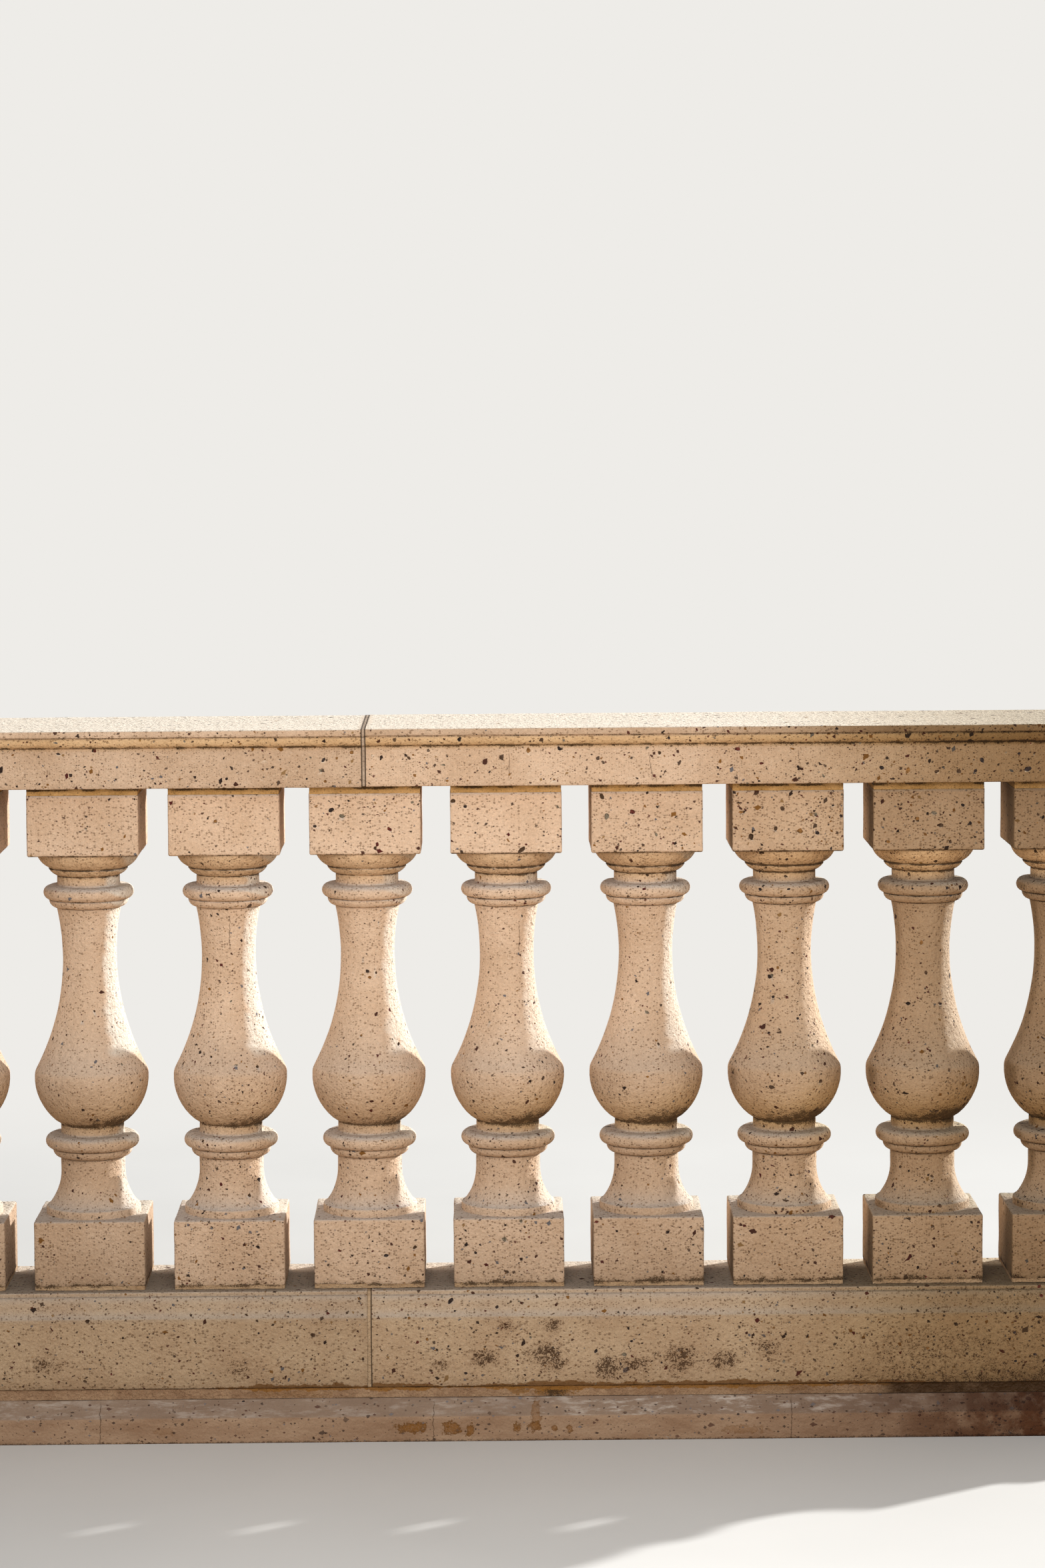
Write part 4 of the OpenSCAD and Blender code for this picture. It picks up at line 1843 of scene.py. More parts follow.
    def dress(self, piece: bpy.types.Object, number: int, character: Character) -> None:
        """Paints where dirt gathers, and its painted sunlight, skylight grey, sunlit strip and shade.

        Args:
            piece: The piece.
            number: The baluster's number.
            character: What sets it apart.
        """
        where, facing = places(piece)
        cut, z = self.template, self.height(where)
        off = where[:, 0] - SIZES.baluster_x(number)
        side, up = off / 0.09, np.clip(facing[:, 2], 0, 1)
        on_block = (z < cut.foot) | (z > cut.cap)
        cap = ease(z, cut.up_neck, cut.small_ovolo) * ease(z, cut.cap + 1, cut.cap - 2)
        # the back of each top is painted sunlit, its front painted skylight grey
        back = ease(where[:, 1] + 0.55 * off, -0.012, 0.028)
        # the sun stands to the right and behind; the strip of each vase that faces it is painted pale, a
        # painted highlight
        lit = facing @ np.array((0.783, 0.508, 0.358))
        ragged = 0.16 * (wander(z, 9, 200 + number) - 0.5)
        sunny = np.where(z > cut.vase, ease(z, cut.belly + 36, cut.belly + 50), ease(lit, 0.35, 0.6))
        strip = ease(lit + ragged, 0.0, 0.2) * sunny * ~on_block
        sun_strip_paint = character.sun_highlight * strip
        # dirt, mould and yellowing
        under_belly = ease(z, cut.belly, cut.vase) * ease(z, cut.vase - 20, cut.vase)
        foot_side = ease(z, cut.belly + 15, cut.belly - 20) * ease(z, cut.cove, cut.vase)
        yellow = 0.45 * cap + (under_belly + 0.7 * np.clip(side, 0, 1) * foot_side) * character.dirt
        mould = 0.25 * ease(z, 130, 0) * character.dirt + 0.28 * cap
        mould += 0.22 * ease(z, cut.vase + 45, cut.vase + 10) * ease(z, cut.vase - 4, cut.vase)
        # the sides that face left get painted shade, further to the right
        left_side_shade = (0.85 * ease(where[:, 1], 0.03, -0.06) - 0.2) * ease(-facing[:, 0], 0.8, 0.98)
        # painted shade: darker to the right and lower down, less on the bowls and the sunlit strip
        shade = painted_shade_of(where, character.shade * 0.6, character.low)
        shade += left_side_shade * ease(where[:, 0], 0.2, 0.6)
        paint(
            piece,
            dirt=self.dirt(where, facing, number) * (0.55 + character.dirt * 0.75),
            washed=np.maximum(ease(up, 0.3, 0.9) * back, sun_strip_paint),
            cool=ease(up, 0.2, 0.9) * (1 - back),
            flecks=self.pitted(z, character, 0.85) * (0.75 + 0.25 * ease(z, 480, 300)),
            yellow=(yellow + 0.28 * ease(where[:, 0], 0.4, 0.9)) * (1 - sun_strip_paint),
            mould=mould,
            shade=shade * (1 - 0.85 * cap) * (1 - 0.25 * strip),
        )

    def dirt(self, where: np.ndarray, facing: np.ndarray, number: int) -> np.ndarray:
        """How much dirt one baluster's undersides and creases hold.

        Args:
            where: Places, one row each.
            facing: Normals, one row each.
            number: The baluster's number.

        Returns:
            The dirt at each place.
        """
        cut, z = self.template, self.height(where)
        off = where[:, 0] - SIZES.baluster_x(number)
        side, right = off / 0.09, np.clip(off / 0.09, 0, 1)
        dirt = 0.08 + 0.34 * np.clip(-facing[:, 2], 0, 1) ** 1.3
        # the bowls and the neck under them
        bowls = ease(z, cut.small_ovolo - 6, cut.small_ovolo + 4) * ease(z, cut.cap + 1, cut.cap - 5)
        dirt += bowls * (0.08 + 0.37 * right + 0.42 * np.clip(-0.3 - side, 0, 1))
        neck = ease(z, cut.up_neck - 2, cut.up_neck + 3) * ease(z, cut.small_ovolo + 1, cut.small_ovolo - 2)
        dirt += 0.45 * neck * np.clip(0.1 + 1.3 * side, 0, 1)
        # height, half width and strength of each crease
        creases = (
            (cut.low_ring, 1.6, 0.8), (cut.low_torus, 1.5, 0.9), (cut.up_ring, 1.6, 0.8),
            (cut.up_torus, 1.5, 0.9), (cut.up_neck, 1.6, 0.5), (cut.low_neck, 1.6, 0.4),
            (cut.vase + 1, 3.4, 0.9), (cut.small_ovolo, 2.0, 1.1), (cut.large_ovolo, 2.0, 1.15),
            (cut.cap, 2.4, 1.1), (cut.cove, 1.8, 0.35), (cut.foot, 1.5, 0.3),
        )
        uneven = 0.35 + 0.65 * wander(np.arctan2(where[:, 1], off), 0.16, self.seed + number)
        for height, half, much in creases:
            dirt += much * uneven * bump(z, height, half)
        # the belly's underside, and the bedding faces
        belly = ease(z, cut.belly - 24, cut.vase + 4) ** 1.5 * ease(z, cut.vase - 18, cut.vase)
        dirt += 0.85 * belly * np.clip(0.62 + 0.7 * side, 0, 1)
        along = wander(where[:, 0] + 0.7 * where[:, 1], 0.012, 100 + number)
        dirt += along * (ease(z, 5, 0.5) + 0.85 * ease(z, 18, 3)) + 0.10 * ease(z, cut.top - 9, cut.top - 1)
        return dirt


# Lengths along the run


@dataclass(frozen=True)
class MouldedLength:
    """A moulded length along the run: a section carried from one end to the other."""

    name: str
    start: float
    end: float
    node: str
    seed: int
    step: float = 0.009

    finish: ClassVar[Finish]
    slot: ClassVar[Slot] = Slot.STONE
    wave_size: ClassVar[float]
    wave_relief: ClassVar[float]
    smooth: ClassVar[float] = 33

    def section(self) -> Points:
        """The whole section, y and z, anticlockwise from the front's foot."""
        raise NotImplementedError

    def chips(self, piece: bpy.types.Object) -> list[Chip]:
        """Chooses the length's chips."""
        return []

    def dress(self, piece: bpy.types.Object) -> None:
        """Paints how the length has weathered."""
        raise NotImplementedError

    def build(self) -> None:
        """Makes, waves, chips and dresses the length."""
        piece = self.carried()
        roughen(piece, self.wave_size, self.wave_relief, 0.95)
        self.levelled(piece)
        clothe(piece, self.finish)
        chips = apart(self.chips(piece))
        if chips:
            chisel(piece, chips, self.seed + 1)
        self.dress(piece)
        seat(piece, self.node, self.smooth)

    def carried(self) -> bpy.types.Object:
        """Extrudes the section from the start to the end of the length.

        Returns:
            The piece.
        """
        piece = chain(self.name, [(self.start, y, z) for y, z in self.section()], closed=True)
        steps = max(1, round((self.end - self.start) / self.step))
        with editing(piece, "FACE"):
            bpy.ops.mesh.extrude_repeat(steps=steps, offset=((self.end - self.start) / steps, 0, 0))
        outwards(piece)
        return piece

    def levelled(self, piece: bpy.types.Object) -> None:
        """Sets an underside that stands on the floor flat again after the waves."""

    @staticmethod
    def mirrored(front: Points, top_spacing: float, foot_spacing: float) -> Points:
        """Closes a front half, given from its foot up, with the same half at the back.

        Args:
            front: Points of the front from its foot to its top arris, in millimetres.
            top_spacing: Spacing of points over the top.
            foot_spacing: Spacing of points under the foot.

        Returns:
            The whole section.
        """
        back = [(-y, z) for y, z in reversed(front)]
        top = divided([front[-1], back[0]], top_spacing)[1:-1]
        foot = divided([back[-1], front[0]], foot_spacing)[1:-1]
        return [(y * MM, z * MM) for y, z in front + top + back + foot]

    @staticmethod
    def open_faces(facing: np.ndarray) -> np.ndarray:
        """Is 1 on faces that are neither undersides nor end faces."""
        return (facing[:, 2] > -0.5) * (np.abs(facing[:, 0]) < 0.9)


@dataclass(frozen=True)
class PlinthKerb(MouldedLength):
    """The plinth kerb: an upright face under a sloped wash."""

    finish = KERB_FINISH
    slot = Slot.KERB
    wave_size = 0.09
    wave_relief = 1.8

    def section(self) -> Points:
        """Section of the kerb.

        Returns:
            The section.
        """
        front = divided([(-144, 0), (-144, 40)], 6.5)
        front += [(-143.5, 41.4)] + divided([(-142.4, 43), (-122, 67)], 5)
        return self.mirrored(front, 20, 24)

    def levelled(self, piece: bpy.types.Object) -> None:
        """Sets the underside flat on the floor.

        Args:
            piece: The piece.
        """
        with editing(piece):
            pick_points(piece, lambda place: place.z < 0.0015)
            bpy.ops.transform.resize(value=(1, 1, 0), center_override=(0, 0, 0))

    def chips(self, piece: bpy.types.Object) -> list[Chip]:
        """Scatters chips over the faces and more along the arris.

        Args:
            piece: The piece.

        Returns:
            The chips.
        """

        def faces(where: np.ndarray, facing: np.ndarray) -> np.ndarray:
            """The front and the back."""
            return self.open_faces(facing) * (np.abs(where[:, 1]) > 0.12)

        def arris(where: np.ndarray, facing: np.ndarray) -> np.ndarray:
            """The worn arris between the face and the wash."""
            return (np.abs(where[:, 1]) > 0.14) * (np.abs(where[:, 2] - 0.0415) < 0.004)

        chips = scatter(piece, 170, (1.3, 3.2), self.seed, faces)
        return chips + scatter(piece, 900, (1.2, 3.0), self.seed + 5, arris)

    def dress(self, piece: bpy.types.Object) -> None:
        """Paints the bloom of the wash, its painted skylight grey, the dirty foot and the damp right end.

        Args:
            piece: The piece.
        """
        where, facing = places(piece)
        x, z, slope = where[:, 0] * 1000, where[:, 2] * 1000, ease(np.clip(facing[:, 2], 0, 1), 0.2, 0.6)
        spread = 0.5 + 0.5 * ease(x, 200, 400) * ease(x, 1000, 850) - 0.35 * ease(x, 850, 1000)
        spread *= (1 - 0.25 * ease(x, 700, 1000)) * (0.6 + 0.4 * wander(x, 60, 4))
        dirt = 0.22 + 0.95 * ease(z, 6, 0.5) + 0.3 * wander(x, 20, 3) * bump(z, 42.5, 1.6)
        paint(
            piece,
            dirt=dirt + 0.36 * ease(x, 600, 1100),
            washed=slope * spread,
            cool=slope,
            flecks=0.5 + 0.3 * (z < 42),
            damp=0.95 * ease(x, 520, 1100),
        )


@dataclass(frozen=True)
class BaseBed(MouldedLength):
    """The mortar bed between kerb and base course, smeared and stained with ochre."""

    finish = BED_MORTAR
    slot = Slot.STAINED
    wave_size = 0.022
    wave_relief = 1.2
    smooth = 60

    def section(self) -> Points:
        """Section of the bed."""
        return self.mirrored(divided([(-119.5, 66.5), (-119.5, 84.5)], 4.5), 30, 30)

    def dress(self, piece: bpy.types.Object) -> None:
        """Paints the dirt under the base's foot, the seep and the damp right end.

        Args:
            piece: The piece.
        """
        where, _ = places(piece)
        x, z = where[:, 0] * 1000, where[:, 2] * 1000
        dirt = 0.14 + 0.9 * ease(z, 80.5, 83.5) * (0.3 + 0.7 * wander(x, 16, 8))
        paint(
            piece,
            dirt=dirt + 0.85 * bump(x, 296, 34) * ease(z, 81, 76) + 0.30 * ease(x, 560, 800),
            damp=ease(x, 800, 860) * 0.95 + 0.20 * ease(x, 450, 800),
            ochre=seep_amount(x) * (where[:, 1] < 0),
        )


@dataclass(frozen=True)
class BaseLength(MouldedLength):
    """One length of the base course: flat face, cove, convex moulding, ledge and top fillet."""

    finish = BASE_STONE
    wave_size = 0.07
    wave_relief = 1.2
    # x, y, z and radius in millimetres, and lining
    stones = (
        (-453, -122, 196, 4.5, 0), (130, -112, 222, 5, 1), (205, -113, 212, 4, 1), (409, -122, 134, 4, 2),
        (363, -122, 140, 4, 1), (420, -122, 156, 4, 1), (258, -122, 164, 3.5, 2), (126, -122, 151, 3, 1),
        (403, -122, 119, 3, 1), (469, -122, 121, 3, 1), (154, -122, 106, 3, 1), (-91, -122, 171, 5, 0),
        (329, -108, 219, 3, 0), (137, -114, 206, 3, 1),
    )
    # x, height up the face, half width and half height in millimetres, and strength
    mould_spots = (
        (116, 37, 14, 9, 0.55), (183, 45, 20, 10, 0.7), (222, 98, 11, 7, 0.6), (293, 99, 15, 8, 0.7),
        (284, 52, 22, 15, 0.72), (304, 34, 11, 7, 0.4), (381, 28, 17, 15, 0.75), (430, 34, 20, 12, 0.55),
        (499, 42, 20, 17, 0.75), (571, 40, 18, 13, 0.7), (640, 60, 20, 14, 0.5), (-210, 32, 20, 11, 0.5),
        (-520, 40, 24, 12, 0.5), (-860, 36, 28, 15, 0.65), (-1190, 52, 22, 16, 0.65),
        (1240, 44, 28, 18, 0.7),
    )

    def section(self) -> Points:
        """Section of the base course.

        Returns:
            The section.
        """
        z = SIZES.base_z / MM
        cove, convex = math.degrees(math.asin(20 / 29)), math.degrees(math.asin(15 / 25))
        front = divided([(-122, z), (-122, z + 113)], 6.5)
        front += arc((-143, z + 133), 29, -cove, 0, 3)[1:]
        front += arc((-89, z + 133), 25, 180, 180 - convex, 3)[1:]
        front += [(-106.4, z + 148)] + divided([(-106, z + 148.6), (-106, z + 152.5)], 2.5)
        front += arc((-103.5, z + 152.5), 2.5, 180, 90, 1.4)[1:]
        return self.mirrored(front, 8, 14)

    def chips(self, piece: bpy.types.Object) -> list[Chip]:
        """The known stones of this length, and more scattered between.

        Args:
            piece: The piece.

        Returns:
            The chips.
        """

        def faces(where: np.ndarray, facing: np.ndarray) -> np.ndarray:
            """More to the right, fewer on the top."""
            more = 0.8 + 0.7 * ease(where[:, 0], 0.5, 1.0) + (0.2 if self.start > 0 else 0)
            return self.open_faces(facing) * np.where(facing[:, 2] > 0.8, 0.4, 1) * more

        known = [row for row in self.stones if self.start < row[0] * MM < self.end]
        return marked(known) + scatter(piece, 420, (1.3, 3.6), self.seed, faces)

    def mould(self, x: np.ndarray, z: np.ndarray, front: np.ndarray) -> np.ndarray:
        """How mouldy the face is.

        Args:
            x: Places along the run, in millimetres.
            z: Heights up the base, in millimetres.
            front: Whether each place is on the front half.

        Returns:
            The mould at each place.
        """
        mould = np.zeros(len(x))
        for sx, sz, wide, high, much in self.mould_spots:
            mould += much * 1.65 * bump(x, sx, wide * 1.35) * bump(z, sz, high * 1.45) * front
        for i in range(9):
            mould += 0.6 * bump(x, i * 300 - 1280, 30) * bump(z, 40 + 9 * (i % 3), 14) * ~front
        mould += 0.5 * ease(x, 700, 860) * ease(x, 1120, 980) * ease(z, 115, 60) * front
        return np.minimum(mould, 0.97)

    def dress(self, piece: bpy.types.Object) -> None:
        """Paints the mould, the dirty foot, the seep and the damp right end, and the painted sunlight,
        skylight grey and shade.

        Args:
            piece: The piece.
        """
        where, facing = places(piece)
        x, z = where[:, 0] / MM, (where[:, 2] - SIZES.base_z) / MM
        front, up, right = where[:, 1] < 0, np.clip(facing[:, 2], 0, 1), ease(x, 500, 1000)
        back, level, moulding = ease(where[:, 1], 0.03, 0.07), ease(up, 0.8, 0.95), ease(z, 112, 118)
        dirt = 0.20 + 0.22 * ease(z, 30, 0) + 0.34 * ease(x, 500, 1100)
        # painted shade: darker to the right, at the foot and on the front of the ledge; the back of the ledge
        # is painted sunlit
        shade = painted_shade_of(where) + 0.10 * (x < 0) + 0.08 * ease(z, 40, 0) - 0.11 + 0.34 * right
        shade += 0.38 * level - 0.08 * moulding * (1 - right)
        paint(
            piece,
            dirt=dirt + 0.22 * bump(z, 148.3, 1.2) + 0.3 * bump(x, 0, 7),
            washed=0.8 * level * back,
            cool=0.66 * ease(up, 0.1, 0.8) * (1 - back) + 0.28 * moulding,
            flecks=0.46 + 0.28 * ease(x, 500, 900) + 0.06 * (x > 0),
            damp=0.35 * ease(x, 900, 1200) * ease(z, 60, 0) + 0.2 * ease(z, 10, 0),
            mould=self.mould(x, z, front),
            ochre=seep_amount(x) * front,
            yellow=0.5 * right,
            shade=shade * (1 - 0.85 * level * back),
        )


@dataclass(frozen=True)
class RailLength(MouldedLength):
    """One length of the handrail: plain fascia, ovolo, quirk and top fillet."""

    drop: float = 0.0
    pitted: float = 0.8
    # painted shade of the fascia, the ovolo and the fillet
    shade_tones: tuple[float, float, float] = (0.10, 0.0, 0.19)
    low_flecks: float = 0.3

    finish = RAIL_STONE
    wave_size = 0.06
    wave_relief = 1.0
    # x, y, z and radius in millimetres, and lining
    stones = (
        (-83, -127, 1101, 2.6, 2), (-63, -127, 1098, 3.4, 1), (-43, -127, 1100, 5, 3),
        (-23, -127, 1088, 3.2, 4), (-68, -127, 1081, 3.6, 2), (-19, -127, 1109, 4.4, 3),
        (-60, -127, 1063, 3.6, 3), (-39, -127, 1061, 2.8, 1), (-90, -127, 1068, 2.6, 1),
        (-48, -127, 1075, 2.6, 0), (152, -138, 1130, 4.5, 1), (281, -139, 1126, 5, 0),
        (261, -127, 1111, 4.5, 3), (271, -127, 1104, 4, 3), (310, -127, 1112, 4, 1),
        (72, -127, 1099, 3.5, 0), (126, -127, 1088, 3.5, 2), (199, -127, 1076, 3.5, 1),
        (421, -127, 1099, 3, 3), (468, -127, 1105, 3.5, 0), (592, -127, 1110, 5, 4),
        (679, -127, 1110, 4, 3), (631, -127, 1087, 3.5, 4), (821, -127, 1078, 5, 1),
        (862, -127, 1073, 5, 3), (908, -127, 1072, 4, 0), (943, -127, 1072, 4.5, 0),
        (969, -127, 1073, 4, 1), (975, -127, 1060, 5, 1), (980, -127, 1089, 4, 1), (928, -127, 1108, 4, 0),
        (1054, -127, 1075, 5, 1), (728, -127, 1066, 4, 2), (483, -139, 1129, 4, 1),
        (701, -139, 1123, 3.5, 4), (912, -139, 1128, 4, 3), (527, -142, 1142, 3.5, 4),
    )

    def section(self) -> Points:
        """Section of the handrail.

        Returns:
            The section.
        """
        z = SIZES.rail_z / MM - self.drop
        front = [(-124.6, z), (-126.3, z + 0.7)] + divided([(-127, z + 2.4), (-127, z + 64.5)], 6.5)
        front += arc((-127, z + 77.5), 13, -90, -180, 2.8)[1:]
        front += [(-140, z + 80.3), (-138.6, z + 81.0), (-138.8, z + 82.0), (-142.4, z + 82.6)]
        front += divided([(-143, z + 83.6), (-143, z + 91.5)], 4)
        front += arc((-140.5, z + 91.5), 2.5, 180, 90, 1.4)[1:]
        return self.mirrored(front, 9, 12)

    def chips(self, piece: bpy.types.Object) -> list[Chip]:
        """The known stones of this length, and more scattered between.

        Args:
            piece: The piece.

        Returns:
            The chips.
        """

        def faces(where: np.ndarray, facing: np.ndarray) -> np.ndarray:
            """More low down and to the right, fewer on the top."""
            low = np.where(where[:, 2] < 1.118, 1.0, 0.5) * np.where(facing[:, 2] > 0.6, 0.35, 1)
            return low * self.pitted * (0.8 + 0.6 * ease(where[:, 0], 0.4, 1.1)) * self.open_faces(facing)

        known = [row for row in self.stones if self.start < row[0] * MM < self.end]
        return marked(known) + scatter(piece, 520, (1.3, 3.4), self.seed, faces)

    def dress(self, piece: bpy.types.Object) -> None:
        """Paints dirt under the ovolo and the fillet, the pale top, a painted highlight, and the painted
        shade.

        Args:
            piece: The piece.
        """
        where, facing = places(piece)
        x, z = where[:, 0], (where[:, 2] - SIZES.rail_z) * 1000
        up, down = np.clip(facing[:, 2], 0, 1), np.clip(-facing[:, 2], 0, 1)
        right, top = ease(x, 0.5, 1.1), ease(up, 0.5, 0.9)
        uneven = 0.35 + 0.65 * wander(x, 0.014, self.seed + 7)
        dirt = 0.10 + 0.30 * down + 0.85 * uneven * bump(z, 65.3, 2.8) + 0.62 * bump(z, 81.3, 1.6)
        dirt += 0.12 * ease(z, 8, 0) + 0.16 * right + 0.25 * bump(x, 0, 0.006)
        # painted shade: darker to the right, in its own tone on fascia, ovolo and fillet, and less on the top
        fascia, ovolo, fillet = self.shade_tones
        shade = painted_shade_of(where, fascia) + 0.30 * right + (0.27 * right + ovolo) * ease(z, 62, 66)
        shade += (0.12 * right + fillet) * ease(z, 81, 83)
        flecks = 0.45 + 0.45 * self.low_flecks * ease(z, 40, 8) + 0.45 * ease(x, 0.4, 0.8)
        paint(
            piece,
            dirt=dirt * (up < 0.7),
            washed=ease(up, 0.4, 0.95),
            flecks=flecks * (1 - 0.4 * top),
            yellow=0.7 * ease(z, 62, 66) * ease(z, 82, 79) + 0.6 * right * (1 - 0.65 * top),
            shade=shade * (1 - (0.9 - 0.30 * right) * top),
        )


# Joints and beds


@dataclass(frozen=True)
class UprightJoint:
    """The mortar of an upright joint, cut to the section of the length beside it and set back."""

    name: str
    length: MouldedLength
    node: str
    finish: Mortar
    left_gap: float = 0.40
    inset: float = 0.0009
    half: float = 0.0036
    steps: int = 6

    def build(self) -> None:
        """Carries the neighbour's section across the joint and sets it back from the faces."""
        section = self.length.section()
        low, high = min(z for _, z in section), max(z for _, z in section)
        wide, tall, middle = max(y for y, _ in section), (high - low) / 2, (low + high) / 2
        in_y, in_z = (wide - self.inset) / wide, (tall - self.inset) / tall
        points = [(-self.half, y * in_y, middle + (z - middle) * in_z) for y, z in section]
        piece = chain(self.name, points, closed=True)
        with editing(piece, "FACE"):
            bpy.ops.mesh.extrude_repeat(steps=self.steps, offset=(2 * self.half / self.steps, 0, 0))
        outwards(piece)
        roughen(piece, 0.012, 1.2)
        clothe(piece, self.finish)
        where, _ = places(piece)
        edge = self.left_gap * (where[:, 0] < -0.002) + (where[:, 0] > 0.002)
        # shade is painted shade, as on the stone beside it
        paint(
            piece,
            gap=np.maximum(edge, 0.42 * (where[:, 2] > high - 0.002)),
            dirt=np.full(len(edge), 0.10),
            shade=painted_shade_of(where),
        )
        seat(piece, self.node, 50)


@dataclass(frozen=True)
class BalusterBeds:
    """The mortar beds under or over all the balusters, uneven and dirty at their edges.

    Heights are low and high. Dirt lies all over, gathers by top_dirt within top_reach
    millimetres of the top and by foot_dirt at the foot, and soak is how wet the top is.
    """

    name: str
    low: float
    high: float
    node: str
    finish: Mortar
    dirt: float
    top_dirt: float
    foot_dirt: float = 0.5
    top_reach: float = 5.0
    soak: float = 0.0
    side: float = 0.1768
    cuts: int = 14
    seed: int = 61

    def build(self) -> None:
        """Models one bed, copies it to each baluster and makes them one piece."""
        bed = slab("one_bed", self.side, self.low, self.high)
        with editing(bed, "EDGE"):
            bpy.ops.mesh.subdivide(number_cuts=self.cuts)
        outwards(bed)
        beds = [copied(bed, f"{self.name}_{n}", SIZES.baluster_x(n)) for n in range(1, SIZES.count + 1)]
        discard(bed)
        take(beds[0])
        for other in beds:
            other.select_set(True)
        bpy.ops.object.join()
        piece = beds[0]
        piece.name = self.name
        roughen(piece, 0.014, 2.0, 0.6)
        clothe(piece, self.finish)
        self.dress(piece)
        seat(piece, self.node, 50)

    def dress(self, piece: bpy.types.Object) -> None:
        """Paints the dirt of the two edges, the wet top and the painted shade.

        Args:
            piece: The piece.
        """
        where, _ = places(piece)
        rise, size, reach = (where[:, 2] - self.low) * 1000, (self.high - self.low) * 1000, self.top_reach
        along = wander(where[:, 0] + 0.7 * where[:, 1], 0.020, self.seed)
        dirt = self.dirt + self.top_dirt * (along - 0.1) * ease(rise, size - reach, size - reach * 0.5)
        paint(
            piece,
            dirt=dirt + self.foot_dirt * (1 - along) * ease(rise, 1.6, 0.0),
            damp=self.soak * (0.25 + 0.75 * along) * ease(rise, size - reach - 1, size - reach * 0.5),
            shade=painted_shade_of(where),
        )


# Stage


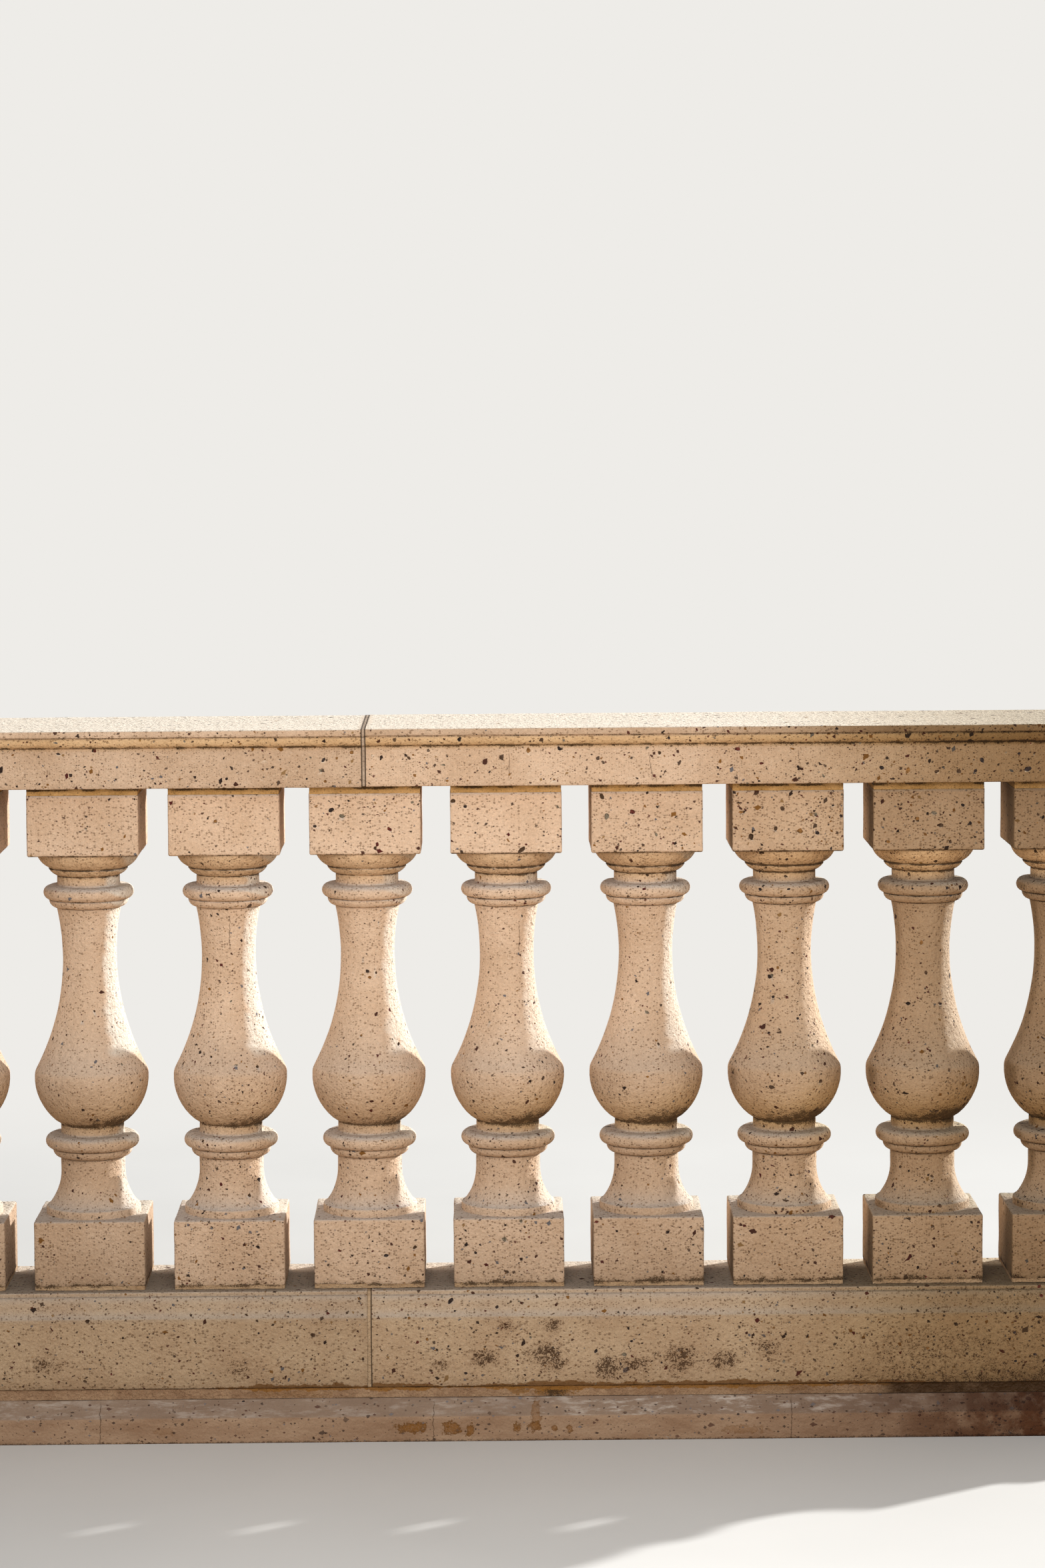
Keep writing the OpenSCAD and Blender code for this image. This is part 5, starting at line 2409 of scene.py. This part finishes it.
@dataclass(frozen=True)
class Stage:
    """Pale floor, soft studio lamps and the camera at the photograph's place."""

    lens: float = 95.13
    camera_place: tuple[float, float, float] = (0.1931, -6.6554, 1.6949)
    yaw: float = 0.512
    pitch: float = 5.583
    roll: float = -0.389
    backdrop: Colour = (238, 236, 232)

    def camera(self) -> None:
        """Places the camera as the photograph was taken."""
        yaw, pitch, roll = (math.radians(a) for a in (self.yaw, self.pitch, self.roll))
        ahead = Vector((math.sin(yaw) * math.cos(pitch), math.cos(yaw) * math.cos(pitch), -math.sin(pitch)))
        level = Vector((math.cos(yaw), -math.sin(yaw), 0))
        above = level.cross(ahead)
        right = math.cos(roll) * level + math.sin(roll) * above
        up = -math.sin(roll) * level + math.cos(roll) * above
        data = bpy.data.cameras.new("photograph_camera")
        data.lens = self.lens
        data.sensor_width = 36
        data.sensor_fit = "AUTO"
        camera = bpy.data.objects.new("photograph_camera", data)
        turn = Matrix((right, up, -ahead)).transposed().to_4x4()
        camera.matrix_world = Matrix.Translation(self.camera_place) @ turn
        bpy.context.scene.collection.objects.link(camera)
        bpy.context.scene.camera = camera

    @staticmethod
    def lamp(name: str, place: Colour, aim: Colour, size: float, watts: float, tint: Colour) -> None:
        """Adds a square soft lamp.

        Args:
            name: Its name.
            place: Where it hangs.
            aim: What it points at.
            size: Its side.
            watts: Its power.
            tint: Its colour, linear.
        """
        data = bpy.data.lights.new(name, "AREA")
        data.shape = "SQUARE"
        data.size = size
        data.energy = watts
        data.color = tint
        lamp = bpy.data.objects.new(name, data)
        lamp.location = place
        lamp.rotation_euler = (Vector(aim) - Vector(place)).to_track_quat("-Z", "Y").to_euler()
        lamp.visible_camera = False
        bpy.context.scene.collection.objects.link(lamp)

    def world(self) -> None:
        """Sets the even light from all round, with a pale backdrop for the camera."""
        world = bpy.data.worlds.new("studio")
        bpy.context.scene.world = world
        world.use_nodes = True
        sheet = Sheet(world.node_tree)
        rays = sheet.node("LightPath", {}).outputs
        camera, glossy, through = (
            Wire(sheet, rays[name]) for name in ("Is Camera Ray", "Is Glossy Ray", "Is Transmission Ray"))
        seen = sheet.maths("MAXIMUM", camera, sheet.maths("MAXIMUM", glossy, through))
        ambient = sheet.wire("Background", {"Color": (0.93, 0.96, 1.0, 1), "Strength": 0.52})
        shown = sheet.wire("Background", {"Color": linear(self.backdrop), "Strength": 1.0})
        sheet.node("OutputWorld", {"Surface": sheet.wire("MixShader", {0: seen, 1: ambient, 2: shown})})

    def floor(self) -> None:
        """Lays the pale floor, which fades into the backdrop far off."""
        leave()
        bpy.ops.mesh.primitive_circle_add(vertices=96, radius=14, fill_type="NGON", location=(0, 0, 0))
        floor = bpy.context.object
        floor.name = "studio_floor"
        material = bpy.data.materials.new("studio_floor_pale")
        material.use_nodes = True
        sheet = Sheet(material.node_tree)
        where = sheet.wire("TexCoord", {}, "Object")
        camera = sheet.wire("LightPath", {}, "Is Camera Ray")
        mottled = sheet.ramp(sheet.noise(where, 1.6, 3, 0.5), 0.3, 0.7)
        pale = sheet.mix(mottled, linear((206, 204, 200)), linear((202, 200, 196)))
        matt = sheet.wire("BsdfDiffuse", {"Color": sheet.mix(camera, linear((182, 160, 136)), pale)})
        glow = sheet.wire("Emission", {"Color": linear(self.backdrop), "Strength": 1.0})
        far = sheet.ramp(sheet.vector("LENGTH", where), 1.6, 3.4) * camera
        sheet.node("OutputMaterial", {"Surface": sheet.wire("MixShader", {0: far, 1: matt, 2: glow})})
        floor.data.materials.append(material)

    def build(self) -> None:
        """Sets up floor, lamps, world and camera."""
        bpy.context.scene.view_settings.view_transform = "Standard"
        self.camera()
        self.world()
        self.floor()
        self.lamp("front_lamp", (0.12, -2.7, 1.7), (0.12, 0, 0.95), 1.3, 48, (1.0, 0.965, 0.92))
        self.lamp("right_back_lamp", (15.72, 10.31, 7.87), (0.15, 0, 0.7), 0.5, 8300, (0.975, 0.985, 0.985))
        log.info("stage: floor, two lamps, camera with a %.1f mm lens", self.lens)


def main() -> None:
    """Builds the balustrade from the kerb up, then the stage."""
    logging.basicConfig(level=logging.INFO, format="%(name)s: %(message)s")
    half, joint = SIZES.half_run, SIZES.half_joint
    PlinthKerb("kerb_course", -half, half, "plinth_kerb", 11, 0.010).build()
    BaseBed("base_bed_mortar", -half + MM, half - MM, "base_bed", 12, 0.010).build()
    bases = (
        BaseLength("base_course_left", -half, -joint, "base_left", 21),
        BaseLength("base_course_right", joint, half, "base_right", 22),
    )
    for base in bases:
        base.build()
    UprightJoint("base_course_joint", bases[0], "base_joint", PALE_POINTING).build()
    BalusterBeds(
        "bed_mortar_lower", SIZES.base_top, SIZES.baluster_z, "baluster_beds_lower", POINTING,
        dirt=0.30, top_dirt=0.7).build()
    Balusters().build()
    BalusterBeds(
        "bed_mortar_upper", SIZES.baluster_top, SIZES.rail_z, "baluster_beds_upper", DIRTY_POINTING,
        dirt=0.14, top_dirt=2.0, foot_dirt=0.4, top_reach=9.0, soak=0.6).build()
    rails = (
        RailLength(
            "handrail_left", -half, -joint, "rail_left", 31, drop=0.8, pitted=1.25, shade_tones=(0.25, -0.14, 0.06),
            low_flecks=1.0),
        RailLength("handrail_right", joint, half, "rail_right", 32),
    )
    for rail in rails:
        rail.build()
    UprightJoint("handrail_joint", rails[1], "rail_joint", RAIL_POINTING, 0.9).build()
    Stage().build()
    leave()


if __name__ == "__main__":
    main()
